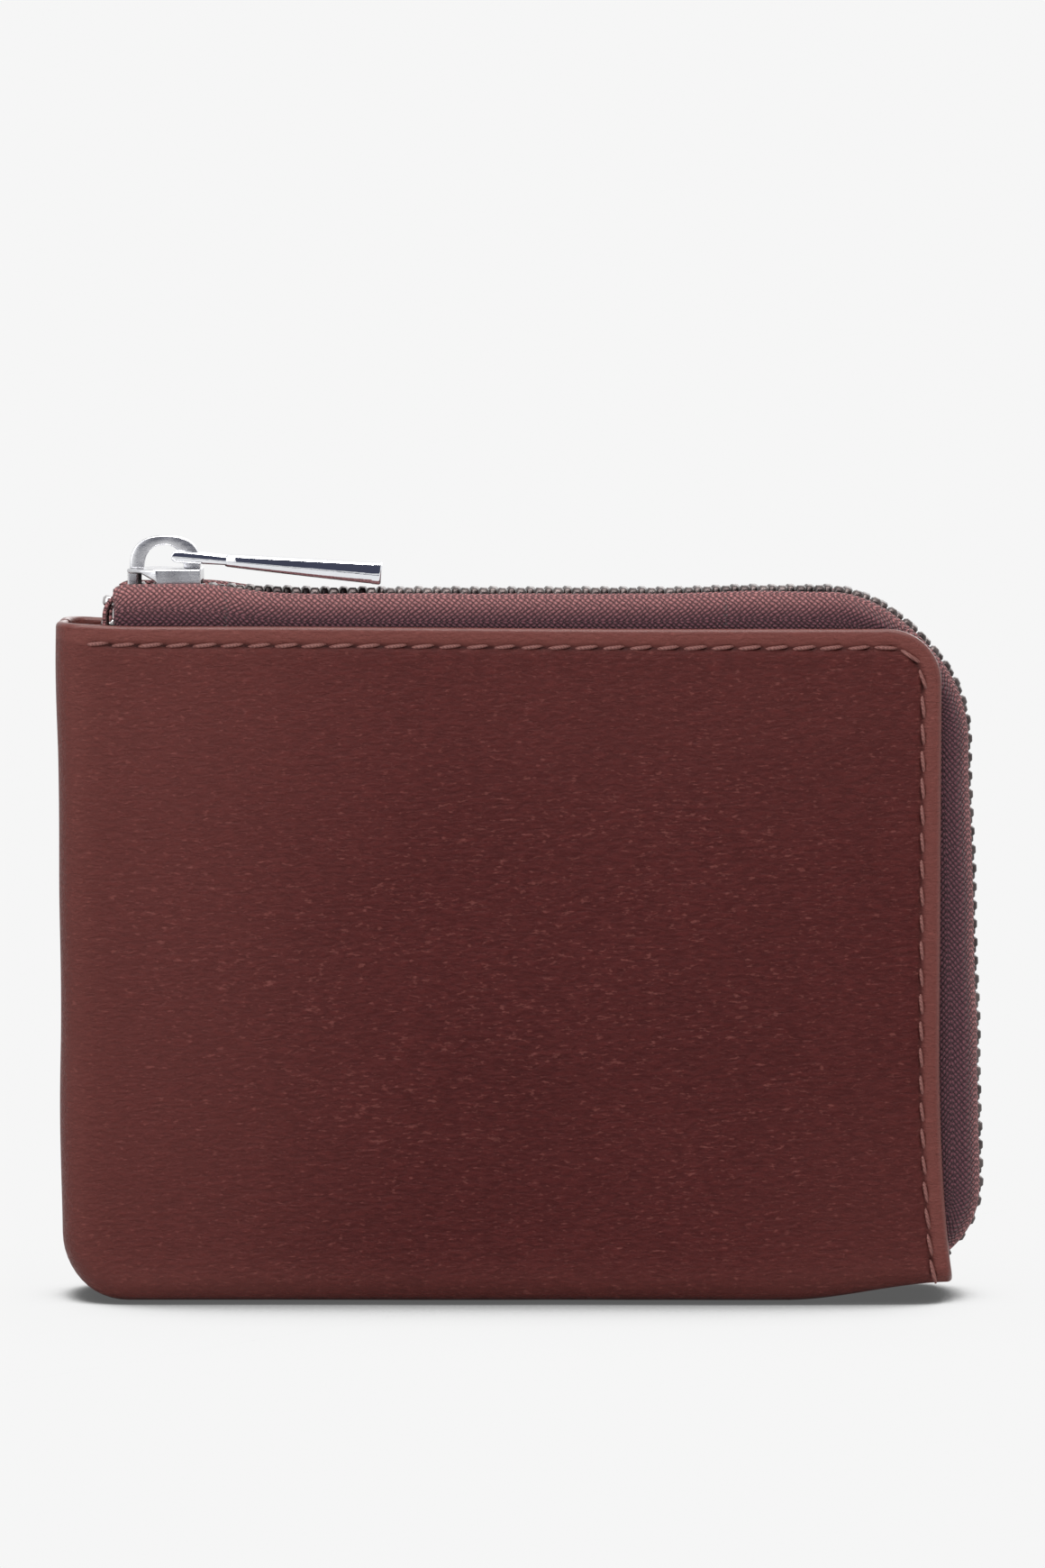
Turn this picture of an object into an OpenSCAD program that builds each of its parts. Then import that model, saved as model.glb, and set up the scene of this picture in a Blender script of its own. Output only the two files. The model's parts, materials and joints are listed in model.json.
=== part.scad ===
// Small zippered pouch: two leather panels sewn along the left side and the bottom,
// and a metal zip that runs along the top, round the corner and down the right side.
// +X runs to the right, the front faces -Y and +Z is up. The origin is under the middle.

/* [Leather] */
// Width from the left seam to the outside of the zip's teeth
overall_w = 120; // [100:1:180]
// Height of the leather, up to its top hem
hem_top = 87.6; // [70:0.2:140]
// Thickness over both leather panels
pouch_t = 17; // [16.5:0.5:26]
// Thickness of the leather
leather_t = 1.3; // [1:0.1:1.6]
// Radius where a panel rolls round to the seam
edge_r = 3.5; // [2.5:0.1:4.5]
// Radius of the bottom left corner
corner_r = 9; // [7.5:0.5:14]
// Radius of a panel's top right corner
hem_corner_r = 6.2; // [4:0.1:8]
// From the outside of the teeth to the right hem, at the top
hem_gap_top = 6.4; // [6:0.1:8]
// From the outside of the teeth to the right hem, at the bottom
hem_gap_bottom = 4.4; // [4:0.1:6]
// Depth of the turned-in seam allowance, from the outside of the seam
seam_d = 5; // [4:0.1:6]
// Thickness of the skived seam allowance
allowance_t = 1; // [0.6:0.1:1.2]

/* [Zip] */
// Height of the zip's middle plane above the top hem
zip_rise = 3.9; // [3.5:0.1:6]
// Thickness of the woven tape
tape_t = 0.6; // [0.4:0.05:0.8]
// Radius of the tape's bend towards a panel, at its middle
tape_bend_r = 2.5; // [2.2:0.1:3]
// How far the tape reaches in behind a panel, from the zip's middle plane
tape_reach = 9.5; // [8:0.1:10]
// Half the gap between the two tapes
tape_gap = 1.3; // [1.2:0.05:1.6]
// Distance between neighbouring teeth of one row
tooth_pitch = 2.4; // [2.4:0.1:3.2]
// Width of a tooth along the tape
tooth_w = 1.35; // [1.1:0.05:1.4]
// Height of a tooth, square to the tape
tooth_h = 2.6; // [2.2:0.1:2.8]
// Width of the closed chain
chain_w = 6; // [5.6:0.1:6.4]
// Width of a tooth's head along the tape
head_w = 1; // [0.8:0.05:1.1]
// How far a head reaches past the middle of the closed chain
head_reach = 0.6; // [0.4:0.05:0.7]
// Radius of the zip's top right corner, at its middle plane
zip_corner_r = 19; // [16:0.5:24]
// Radius of the curl at the zip's bottom end
curl_r = 10.7; // [10:0.1:12]
// Angle of the curl
curl_angle = 60; // [50:1:64]
// Height at which the curl starts
curl_z = 15; // [14.5:0.5:20]
// Radius at which the zip's open end turns down into the pouch
turn_r = 2.8; // [2.8:0.1:3.4]
// From the left seam to the start of that turn
turn_from_left = 9.4; // [9:0.1:12]
// Length of the zip's open end below the turn
drop_l = 6; // [5:0.5:8]

/* [Slider] */
// Length of the slider
slider_l = 9.6; // [9:0.1:11]
// Thickness of its top plate
top_plate_t = 1.6; // [1.2:0.1:1.8]
// Thickness of its bottom plate
bottom_plate_t = 1.2; // [0.9:0.1:1.4]
// Height of the crown above the top plate
crown_h = 4.2; // [4:0.1:5]
// Thickness of the crown, across the zip
crown_t = 1.8; // [1.4:0.1:2]
// Distance from the hinge's axis to the free end of the pull
pull_l = 26.4; // [18:0.2:34]
// Width of the pull
pull_w = 5; // [4.4:0.1:7]
// Thickness of the pull near the hinge
pull_t = 1.9; // [1.6:0.1:2.2]
// Thickness of the pull at its free end
pull_end_t = 2.6; // [2:0.1:2.8]

/* [Stitches] */
// Distance between stitches
stitch_pitch = 3.45; // [3:0.05:5]
// Length of a stitch
stitch_l = 2.6; // [2:0.1:2.8]
// From a hem to its line of stitches
stitch_inset = 2.4; // [2:0.1:3.5]
// Thickness of the thread
thread_t = 0.5; // [0.3:0.05:0.6]

/* [Inside] */
// Thickness of the lining
lining_t = 0.4; // [0.3:0.05:0.5]
// Thickness of a pocket's cloth
pocket_t = 0.5; // [0.3:0.05:0.6]
// Width of a card pocket, a card and its seams
card_pocket_w = 92; // [90:1:94]
// Height of a card pocket
card_pocket_h = 44; // [40:1:50]
// Height of the card pockets' backing below the top hem
card_below_hem = 8.6; // [8:0.2:12]
// Space inside the coin pocket, front to back
coin_gap = 4.4; // [4.2:0.1:6]
// Height of the coin pocket's mouth below the top hem
coin_below_hem = 12; // [10:0.5:30]

/* [Hidden] */
$fn = 64;

// Clearances
fit_gap = 0.12;                       // a tooth's slot round the tape
slide_gap = 0.25;                     // the slider's channel round the teeth
rest_gap = 0.3;                       // the pull above the teeth, and the pull round the crown
lay_gap = 0.2;                        // a pocket beside a seam allowance

// Leather outline
half_t = pouch_t / 2;
x_left = -overall_w / 2;
x_right = overall_w / 2;
hem_x_top = x_right - hem_gap_top;
hem_x_bottom = x_right - hem_gap_bottom;
face_in = half_t - leather_t;         // inner face of a panel
lining_out = face_in - tape_t;        // outer face of a lining
lining_in = lining_out - lining_t;    // inner face of a lining

// Route of the zip's middle plane, from its open end to its bottom end
z_top = hem_top + zip_rise;
x_side = x_right - tooth_h / 2;
turn_x = x_left + turn_from_left;
zip_corner_x = x_side - zip_corner_r;
zip_corner_z = z_top - zip_corner_r;
curl_x = x_side - curl_r;
turn_len = PI / 2 * turn_r;
top_len = zip_corner_x - turn_x;
corner_len = PI / 2 * zip_corner_r;
side_len = zip_corner_z - curl_z;
curl_len = PI * curl_r * curl_angle / 180;
s_corner = top_len;
s_side = s_corner + corner_len;
s_curl = s_side + side_len;
s_end = s_curl + curl_len;
s_start = -turn_len - drop_l;

// The rows part round the slider's divider
part_y = 1.6;                         // how far each row moves out
part_from = 4.8;                      // along the route, where they begin to part
part_to = 1;                          // along the route, where they have parted
tape_flat = face_in - tape_t / 2 - tape_bend_r;
tape_lead = tooth_w / 2 + fit_gap;    // the tape parts this much ahead of its teeth

// Slider
slider_x0 = turn_x - rest_gap;
channel_h = tooth_h + 2 * slide_gap;
slit_h = tape_t + 0.4;
flange_t = 1.1;
flange_from = 3.9;                    // from the slider's front end to its flanges
under_half_w = tape_flat + 0.2;       // the lower plate clears the tape's bend
plate_top = z_top + channel_h / 2 + top_plate_t;
divider_w = 1.4;
divider_l = 1.8;
lip_half_w = 2.8;

// Crown and pull
crown_x0 = slider_x0 + 0.3;
crown_l = 9.1;
crown_r = 3.4;
crown_limb_left = 2;
crown_limb_right = 2.1;
crown_limb_top = 1.25;
crown_hole_r = 1.6;
crown_foot_h = 0.5;
hinge_r = 0.65;
hinge_x = crown_x0 + crown_l - crown_limb_right - hinge_r - 0.2;
hinge_z = plate_top + 1.55;
eye_half_w = crown_t / 2 + rest_gap;
eye_arm_w = 1;
eye_l = hinge_x - crown_x0 + 0.7;     // long enough to swing over the crown
pull_drop = hinge_z - pull_end_t / 2 - rest_gap - z_top - tooth_h / 2;
pull_slope = asin(pull_drop / pull_l);
pull_round_r = 1.2;

// Inside
card_x0 = x_left + 10;
card_z0 = seam_d + 3;
card_z1 = hem_top - card_below_hem;
// Height from one card pocket's top edge to the next
card_step = (card_z1 - card_z0 - card_pocket_h) / 3;
coin_x0 = x_left + seam_d + lay_gap;
coin_x1 = curl_x - 4;
coin_z0 = seam_d + lay_gap;
coin_z1 = hem_top - coin_below_hem;
coin_r = corner_r - seam_d - lay_gap;
card_in = lining_in - 4 * pocket_t;   // inner face of the lowest card pocket
coin_out = card_in - rest_gap;        // back face of the coin pocket
coin_back_in = coin_out - pocket_t;
coin_front_in = coin_back_in - coin_gap;
lining_x1 = x_right - 9;
lining_z1 = hem_top - 1.6;
seam_end_x = curl_x - 3;              // the seam allowance stops short of the curl
seam_thread_d = (seam_d + leather_t) / 2;

function smooth(t) = let (c = max(0, min(1, t))) c * c * (3 - 2 * c);
function parting(s) = part_y * smooth((part_from - s) / (part_from - part_to));
function arc(cx, cz, r, a0, a1, n = 12) =
  [for (i = [0:n]) let (a = a0 + (a1 - a0) * i / n) [cx + r * cos(a), cz + r * sin(a)]];

// Puts its children on the zip's route, s from the start of the top run
module on_route(s) {
  if (s < -turn_len)
    translate([turn_x - turn_r, 0, z_top - turn_r + turn_len + s]) rotate([0, -90, 0]) children();
  else if (s < 0)
    translate([turn_x, 0, z_top - turn_r]) rotate([0, 90 * s / turn_len, 0])
      translate([0, 0, turn_r]) children();
  else if (s < s_corner)
    translate([turn_x + s, 0, z_top]) children();
  else if (s < s_side)
    translate([zip_corner_x, 0, zip_corner_z]) rotate([0, 90 * (s - s_corner) / corner_len, 0])
      translate([0, 0, zip_corner_r]) children();
  else if (s < s_curl)
    translate([x_side, 0, zip_corner_z - (s - s_side)]) rotate([0, 90, 0]) children();
  else
    translate([curl_x, 0, curl_z]) rotate([0, 90 + curl_angle * (s - s_curl) / curl_len, 0])
      translate([0, 0, curl_r]) children();
}

// Turns a front piece into its back twin
module to_back() {
  mirror([0, 1, 0]) children();
}

// An upright sheet with its outline in the XZ plane, from y0 to y1
module upright(y0, y1) {
  translate([0, y1, 0]) rotate([90, 0, 0]) linear_extrude(y1 - y0) children();
}

// ---- Leather panels ----

// Section through a rolled edge: x is the depth in from the seam, y the distance from the middle
module edge_section() {
  square([leather_t, half_t - edge_r]);
  intersection() {
    translate([edge_r, half_t - edge_r]) difference() {
      circle(edge_r);
      circle(edge_r - leather_t);
    }
    translate([0, half_t - edge_r]) square(edge_r);
  }
}

module allowance_section() {
  translate([leather_t, 0]) square([seam_d - leather_t, allowance_t]);
}

module bottom_run(length, x_end) {
  translate([x_end, 0, 0]) rotate([0, -90, 0]) to_back() linear_extrude(length) children();
}

module seam_corner() {
  translate([x_left + corner_r, 0, corner_r]) rotate([90, 0, 0]) rotate([0, 0, 180])
    rotate_extrude(angle = 90) translate([corner_r, 0]) mirror([1, 0]) children();
}

module left_run() {
  translate([x_left, 0, corner_r]) to_back() linear_extrude(hem_top - corner_r) children();
}

module face_outline() {
  translate([x_left + corner_r, corner_r]) circle(corner_r - edge_r);
  polygon(concat(
    [[x_left + edge_r, corner_r], [x_left + corner_r, edge_r], [hem_x_bottom, edge_r]],
    arc(hem_x_top - hem_corner_r, hem_top - hem_corner_r, hem_corner_r, 0, 90),
    [[x_left + edge_r, hem_top]]
  ));
}

module panel() {
  upright(-half_t, -face_in) face_outline();
  left_run() edge_section();
  left_run() allowance_section();
  seam_corner() edge_section();
  seam_corner() allowance_section();
  bottom_run(hem_x_bottom - x_left - corner_r, hem_x_bottom) edge_section();
  bottom_run(seam_end_x - x_left - corner_r, seam_end_x) allowance_section();
}

module front_panel() {
  color([0.33, 0.17, 0.17]) panel();
}

module back_panel() {
  color([0.33, 0.17, 0.17]) to_back() panel();
}

// Thread of the seam that joins the two allowances
module seam_thread() {
  bar = [stitch_l, thread_t / 2, thread_t];
  color([0.3, 0.15, 0.15]) {
    for (x = [x_left + corner_r + stitch_pitch : stitch_pitch : seam_end_x - stitch_pitch])
      translate([x, -allowance_t - bar.y, seam_thread_d]) cube(bar);
    for (z = [corner_r + stitch_pitch : stitch_pitch : hem_top - stitch_pitch])
      translate([x_left + seam_thread_d, -allowance_t - bar.y, z]) rotate([0, -90, 0]) cube(bar);
  }
}

// ---- Stitches that hold the hems to the tape ----

stitch_tilt = 6;
stitch_x0 = x_left + edge_r + 2;
stitch_x1 = hem_x_top - hem_corner_r;
stitch_z1 = hem_top - hem_corner_r;
stitch_arc_r = hem_corner_r - stitch_inset;
stitch_slant = atan((hem_x_bottom - hem_x_top) / (stitch_z1 - edge_r));

module stitch() {
  rotate([0, stitch_tilt, 0]) translate([-stitch_l / 2, -thread_t / 2, -thread_t / 2])
    cube([stitch_l, thread_t / 2, thread_t]);
}

module topstitch() {
  top_n = floor((stitch_x1 - stitch_x0) / stitch_pitch);
  side_n = floor((stitch_z1 - edge_r) / stitch_pitch);
  translate([0, -half_t, 0]) {
    for (i = [0:top_n])
      translate([stitch_x1 - i * stitch_pitch, 0, hem_top - stitch_inset]) stitch();
    translate([stitch_x1, 0, stitch_z1]) rotate([0, 45, 0])
      translate([0, 0, stitch_arc_r]) stitch();
    for (i = [0:side_n])
      translate([hem_x_top - stitch_inset + i * stitch_pitch * sin(stitch_slant), 0,
                 stitch_z1 - i * stitch_pitch]) rotate([0, 90 - stitch_slant, 0]) stitch();
  }
}

module front_topstitch() {
  color([0.5, 0.32, 0.29]) topstitch();
}

module back_topstitch() {
  color([0.5, 0.32, 0.29]) to_back() topstitch();
}

// ---- Zip tape ----

// Section of a tape: x is the distance from the middle, y the height over the middle plane
module tape_bend_section() {
  intersection() {
    translate([tape_flat, -tape_bend_r]) difference() {
      circle(tape_bend_r + tape_t / 2);
      circle(tape_bend_r - tape_t / 2);
    }
    translate([tape_flat, -tape_bend_r]) square(tape_bend_r + tape_t);
  }
  translate([lining_out, -tape_reach]) square([tape_t, tape_reach - tape_bend_r]);
}

module tape_flat_section(inner) {
  translate([inner, -tape_t / 2]) square([tape_flat - inner, tape_t]);
}

module tape_section() {
  tape_bend_section();
  tape_flat_section(tape_gap);
}

// Sweeps a section round an arc that starts on the right and goes up
module tape_arc(r, angle) {
  rotate([90, 0, 0]) rotate_extrude(angle = angle)
    translate([r, 0]) mirror([1, 0]) rotate(90) children();
}

module tape_along_x(x0, x1) {
  translate([x0, 0, z_top]) rotate([90, 0, 90]) mirror([1, 0, 0]) linear_extrude(x1 - x0) children();
}

module tape_down(x, z0, z1) {
  translate([x, 0, z0]) rotate([0, 0, 180]) mirror([1, 0, 0])
    linear_extrude(z1 - z0) mirror([1, 0]) rotate(90) children();
}

module tape() {
  lead = [for (i = [0:12]) let (s = i * (part_from + tape_lead) / 12)
    [turn_x + s, -tape_gap - parting(s - tape_lead)]];
  parted = tape_gap + part_y;
  translate([0, 0, z_top - tape_t / 2]) linear_extrude(tape_t)
    polygon(concat(lead, [[zip_corner_x, -tape_gap], [zip_corner_x, -tape_flat], [turn_x, -tape_flat]]));
  tape_along_x(turn_x, zip_corner_x) tape_bend_section();
  translate([zip_corner_x, 0, zip_corner_z]) tape_arc(zip_corner_r, 90) tape_section();
  tape_down(x_side, curl_z, zip_corner_z) tape_section();
  translate([curl_x, 0, curl_z]) mirror([0, 0, 1]) tape_arc(curl_r, curl_angle) tape_section();
  translate([turn_x, 0, z_top - turn_r]) mirror([1, 0, 0])
    tape_arc(turn_r, 90) tape_flat_section(parted);
  translate([turn_x - turn_r - tape_t / 2, -tape_flat, z_top - turn_r - drop_l])
    cube([tape_t, tape_flat - parted, drop_l]);
}

module front_tape() {
  color([0.42, 0.27, 0.27]) tape();
}

module back_tape() {
  color([0.42, 0.27, 0.27]) to_back() tape();
}

// ---- Teeth and stops ----

leg_in = tape_gap - fit_gap - 0.35;   // where a tooth's legs meet its head

// A tooth of the front row, clamped on the edge of its tape
module tooth() {
  difference() {
    translate([-tooth_w / 2, -chain_w / 2, -tooth_h / 2])
      cube([tooth_w, chain_w / 2 - leg_in, tooth_h]);
    translate([-tooth_w, -chain_w, -tape_t / 2 - fit_gap])
      cube([2 * tooth_w, chain_w - tape_gap + fit_gap, tape_t + 2 * fit_gap]);
  }
  translate([-head_w / 2, -leg_in, -tooth_h / 2 + 0.2])
    cube([head_w, leg_in + head_reach, tooth_h - 0.4]);
}

// The front row's teeth between two places on the route, shifted along it by a share of the pitch
module row(from, to, shift) {
  first = ceil(from / tooth_pitch - shift);
  last = ceil(to / tooth_pitch - shift) - 1;
  for (i = [first:last]) {
    s = (i + shift) * tooth_pitch;
    on_route(s) translate([0, -parting(s), 0]) tooth();
  }
}

stop_l = 2;
row_start = s_start + stop_l + tooth_w;
row_end = s_end - stop_l - tooth_w;

module front_teeth_top() {
  color([0.5, 0.42, 0.4]) row(row_start, s_corner, 0);
}

module back_teeth_top() {
  color([0.5, 0.42, 0.4]) to_back() row(row_start, s_corner, 0.5);
}

module front_teeth_side() {
  color([0.5, 0.42, 0.4]) row(s_corner, row_end, 0);
}

module back_teeth_side() {
  color([0.5, 0.42, 0.4]) to_back() row(s_corner, row_end, 0.5);
}

// A stop clamped on one tape at the zip's open end
module top_stop() {
  on_route(s_start + stop_l / 2) translate([0, -part_y, 0]) difference() {
    translate([-stop_l / 2, -chain_w / 2, -tooth_h / 2]) cube([stop_l, chain_w / 2 - leg_in, tooth_h]);
    translate([-stop_l, -chain_w, -tape_t / 2 - fit_gap])
      cube([2 * stop_l, chain_w - tape_gap + fit_gap, tape_t + 2 * fit_gap]);
  }
}

module front_top_stop() {
  color([0.5, 0.42, 0.4]) top_stop();
}

module back_top_stop() {
  color([0.5, 0.42, 0.4]) to_back() top_stop();
}

// A stop clamped across both tapes at the zip's bottom end
module bottom_stop() {
  slot = [2 * stop_l, chain_w, tape_t + 2 * fit_gap];
  color([0.5, 0.42, 0.4]) on_route(s_end - stop_l / 2) difference() {
    translate([-stop_l / 2, -chain_w / 2, -tooth_h / 2]) cube([stop_l, chain_w, tooth_h]);
    translate([-stop_l, tape_gap - fit_gap, -slot.z / 2]) cube(slot);
    translate([-stop_l, fit_gap - tape_gap - slot.y, -slot.z / 2]) cube(slot);
  }
}

// ---- Slider ----

// Half width inside a flange at a distance x from the slider's front end
function flange_in(x) = chain_w / 2 + slide_gap + parting(x - rest_gap - tape_lead);

module flange_outline(widest) {
  steps = 6;
  xs = [for (i = [0:steps]) flange_from + (slider_l - flange_from) * i / steps];
  polygon(concat(
    [for (x = xs) [x, flange_in(x)]],
    [for (i = [steps:-1:0]) [xs[i], min(widest, flange_in(xs[i]) + flange_t)]]
  ));
}

// A plate seen from above: a narrow open lip in front, wider over the flanges
module plate_outline(widest) {
  steps = 6;
  xs = [for (i = [0:steps]) flange_from + (slider_l - flange_from) * i / steps];
  side = concat(
    [[0, lip_half_w - 1], [0.7, lip_half_w], [flange_from / 2, (lip_half_w + widest) / 2 + 0.4]],
    [for (x = xs) [x, min(widest, flange_in(x) + flange_t)]]
  );
  polygon(concat(side, [for (i = [len(side) - 1:-1:0]) [side[i].x, -side[i].y]]));
}

module slider_body() {
  upper = 4.9;
  flange_h = (channel_h - slit_h) / 2;
  color([0.62, 0.62, 0.64]) translate([slider_x0, 0, z_top]) {
    translate([0, 0, channel_h / 2]) linear_extrude(top_plate_t) plate_outline(upper);
    translate([0, 0, -channel_h / 2 - bottom_plate_t]) linear_extrude(bottom_plate_t)
      plate_outline(under_half_w);
    translate([0, -divider_w / 2, -channel_h / 2]) cube([divider_l - divider_w / 2, divider_w, channel_h]);
    translate([divider_l - divider_w / 2, 0, -channel_h / 2]) cylinder(h = channel_h, d = divider_w);
    for (side = [0, 1]) mirror([0, side, 0]) {
      translate([0, 0, slit_h / 2]) linear_extrude(flange_h) flange_outline(upper);
      translate([0, 0, -channel_h / 2]) linear_extrude(flange_h) flange_outline(under_half_w);
    }
  }
}

// A flat-footed arch: x along, y up
module arch(l, h, r) {
  square([l, h - r]);
  translate([r, 0]) square([l - 2 * r, h]);
  translate([r, h - r]) circle(r);
  translate([l - r, h - r]) circle(r);
}

module slider_crown() {
  hole_l = crown_l - crown_limb_left - crown_limb_right;
  color([0.66, 0.66, 0.68]) {
    translate([crown_x0, 0, plate_top]) upright(-crown_t / 2, crown_t / 2) difference() {
      intersection() {
        arch(crown_l, crown_h, crown_r);
        square([crown_l, crown_h]);
      }
      translate([crown_limb_left, 0]) arch(hole_l, crown_h - crown_limb_top, crown_hole_r);
    }
    translate([crown_x0, -crown_t / 2 - 0.3, plate_top])
      cube([crown_limb_left, crown_t + 0.6, crown_foot_h]);
  }
}

// The pull's side view, from the hinge to the free end
module pull_side(x0) {
  t0 = pull_t + (pull_end_t - pull_t) * x0 / pull_l;
  polygon([[x0, -t0 / 2], [pull_l, -pull_end_t / 2], [pull_l, pull_end_t / 2], [x0, t0 / 2]]);
}

module pull_tab() {
  color([0.8, 0.8, 0.82]) translate([hinge_x, 0, hinge_z]) rotate([0, pull_slope, 0]) {
    difference() {
      upright(-pull_w / 2, pull_w / 2) pull_side(eye_l);
      for (side = [0, 1]) mirror([0, side, 0])
        translate([pull_l - pull_round_r, pull_w / 2 - pull_round_r, -pull_end_t]) difference() {
          cube([2 * pull_round_r, 2 * pull_round_r, 2 * pull_end_t]);
          cylinder(h = 2 * pull_end_t, r = pull_round_r);
        }
    }
    for (side = [0, 1]) mirror([0, side, 0]) translate([0, eye_half_w, 0]) {
      translate([0, 0, -pull_t / 2]) cube([eye_l, eye_arm_w, pull_t]);
      rotate([-90, 0, 0]) cylinder(h = eye_arm_w, d = pull_t);
    }
    translate([0, -eye_half_w, 0]) rotate([-90, 0, 0]) cylinder(h = 2 * eye_half_w, r = hinge_r);
  }
}

// ---- Lining and pockets ----

module lining_outline() {
  r = corner_r - edge_r;
  polygon(concat(
    arc(x_left + corner_r, corner_r, r, 180, 270),
    [[lining_x1, edge_r]],
    arc(lining_x1 - hem_corner_r, lining_z1 - hem_corner_r, hem_corner_r, 0, 90),
    [[x_left + edge_r, lining_z1]]
  ));
}

module front_lining() {
  color([0.16, 0.12, 0.12]) upright(-lining_out, -lining_in) lining_outline();
}

module back_lining() {
  color([0.16, 0.12, 0.12]) upright(lining_in, lining_out) lining_outline();
}

// A sheet of the card pockets, counted in from the lining
module card_sheet(place, z0, h) {
  out = lining_in - place * pocket_t;
  upright(out - pocket_t, out) translate([card_x0, z0]) square([card_pocket_w, h]);
}

module card_backing() {
  color([0.2, 0.14, 0.14]) card_sheet(0, card_z0, card_z1 - card_z0);
}

module card_pocket_upper() {
  color([0.24, 0.16, 0.16]) card_sheet(1, card_z0 + 2 * card_step, card_pocket_h);
}

module card_pocket_middle() {
  color([0.26, 0.17, 0.17]) card_sheet(2, card_z0 + card_step, card_pocket_h);
}

module card_pocket_lower() {
  color([0.28, 0.18, 0.18]) card_sheet(3, card_z0, card_pocket_h);
}

// Outline of the coin pocket, drawn in by a margin but open at the top
module coin_outline(margin, mouth) {
  r = coin_r - margin;
  polygon(concat(
    arc(coin_x0 + coin_r, coin_z0 + coin_r, r, 180, 270),
    arc(coin_x1 - coin_r, coin_z0 + coin_r, r, 270, 360),
    [[coin_x1 - margin, coin_z1 + mouth], [coin_x0 + margin, coin_z1 + mouth]]
  ));
}

module coin_pocket_front() {
  color([0.3, 0.2, 0.2]) upright(coin_front_in - pocket_t, coin_front_in) coin_outline(0, 0);
}

module coin_pocket_back() {
  color([0.3, 0.2, 0.2]) upright(coin_back_in, coin_out) coin_outline(0, 0);
}

module coin_pocket_gusset() {
  color([0.22, 0.15, 0.15]) upright(coin_front_in, coin_back_in) difference() {
    coin_outline(0, 0);
    coin_outline(pocket_t, 1);
  }
}

front_panel();
back_panel();
front_lining();
back_lining();
seam_thread();
front_topstitch();
back_topstitch();
front_tape();
back_tape();
front_teeth_top();
back_teeth_top();
front_teeth_side();
back_teeth_side();
front_top_stop();
back_top_stop();
bottom_stop();
slider_body();
slider_crown();
pull_tab();
card_backing();
card_pocket_upper();
card_pocket_middle();
card_pocket_lower();
coin_pocket_front();
coin_pocket_back();
coin_pocket_gusset();
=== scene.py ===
import json
import math
import bmesh
import bpy
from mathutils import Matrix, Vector, noise
from mathutils.geometry import delaunay_2d_cdt


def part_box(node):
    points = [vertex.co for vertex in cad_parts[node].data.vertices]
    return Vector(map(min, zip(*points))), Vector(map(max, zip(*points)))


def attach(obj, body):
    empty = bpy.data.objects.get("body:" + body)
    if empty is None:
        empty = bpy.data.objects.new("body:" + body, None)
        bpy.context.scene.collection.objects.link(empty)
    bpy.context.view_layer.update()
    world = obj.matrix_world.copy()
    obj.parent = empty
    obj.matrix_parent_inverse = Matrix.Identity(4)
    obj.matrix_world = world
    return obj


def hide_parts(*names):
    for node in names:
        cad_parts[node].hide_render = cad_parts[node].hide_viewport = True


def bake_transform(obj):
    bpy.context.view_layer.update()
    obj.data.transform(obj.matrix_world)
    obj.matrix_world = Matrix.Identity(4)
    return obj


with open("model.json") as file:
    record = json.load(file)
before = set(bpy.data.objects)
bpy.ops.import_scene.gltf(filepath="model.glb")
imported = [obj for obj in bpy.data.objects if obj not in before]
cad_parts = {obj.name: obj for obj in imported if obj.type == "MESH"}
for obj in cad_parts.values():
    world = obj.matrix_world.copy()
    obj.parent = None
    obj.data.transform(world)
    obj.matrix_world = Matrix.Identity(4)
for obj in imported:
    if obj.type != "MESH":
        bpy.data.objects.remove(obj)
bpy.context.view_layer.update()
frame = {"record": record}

scene = bpy.context.scene
scene.view_settings.view_transform = "Standard"

# ---- Camera ----
# A long lens square to the front panel, five degrees above the table, aimed
# between the hem and the middle of the front.
camera_tilt = math.radians(5)
camera_back = 0.7605
camera_aim = Vector((0.0, 0.0, 0.0667))
camera_data = bpy.data.cameras.new("camera")
camera_data.lens = 135
camera_data.sensor_width = 36
camera_data.clip_start = 0.05
camera = bpy.data.objects.new("camera", camera_data)
camera.location = camera_aim + camera_back * Vector((0, -math.cos(camera_tilt), math.sin(camera_tilt)))
camera.rotation_euler = (math.radians(90) - camera_tilt, 0, 0)
scene.collection.objects.link(camera)
scene.camera = camera

# ---- Studio ----
# A wide pale table under a pale room. The table glows evenly, and close to the pouch ambient occlusion darkens
# its glow as a painted contact shadow.
# Broad lamps stand above, in front and behind, and two dark cards are there for the
# polished metal to mirror.
paper = (0.921, 0.921, 0.921)
lamp_aim = Vector((0, 0, 0.05))


def node(tree, kind, values=None, **settings):
    """A node with its settings, and with inputs that are linked or given a value."""
    made = tree.nodes.new(kind)
    for name, value in settings.items():
        setattr(made, name, value)
    for place, value in (values or {}).items():
        socket = made.inputs[place]
        if isinstance(value, bpy.types.NodeSocket):
            tree.links.new(value, socket)
        elif socket.type == "RGBA":
            socket.default_value = (*value, 1)
        else:
            socket.default_value = value
    return made


def calc(tree, operation, *values):
    """The result of a sum on numbers or on other nodes' results."""
    return node(tree, "ShaderNodeMath", dict(enumerate(values)), operation=operation).outputs[0]


def blank_tree(owner):
    """The emptied shader tree of a material or a world."""
    owner.use_nodes = True
    owner.node_tree.nodes.clear()
    return owner.node_tree


def by_ray(tree, lighting, seen, output):
    """One shader for the light it gives, and another where the camera or a mirror sees it."""
    path = node(tree, "ShaderNodeLightPath").outputs
    straight = calc(tree, "MAXIMUM", path["Is Camera Ray"], path["Is Glossy Ray"])
    share = calc(tree, "MAXIMUM", straight, path["Is Transmission Ray"])
    either = node(tree, "ShaderNodeMixShader", {"Fac": share, 1: lighting.outputs[0], 2: seen.outputs[0]})
    node(tree, output, {"Surface": either.outputs[0]})


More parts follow.
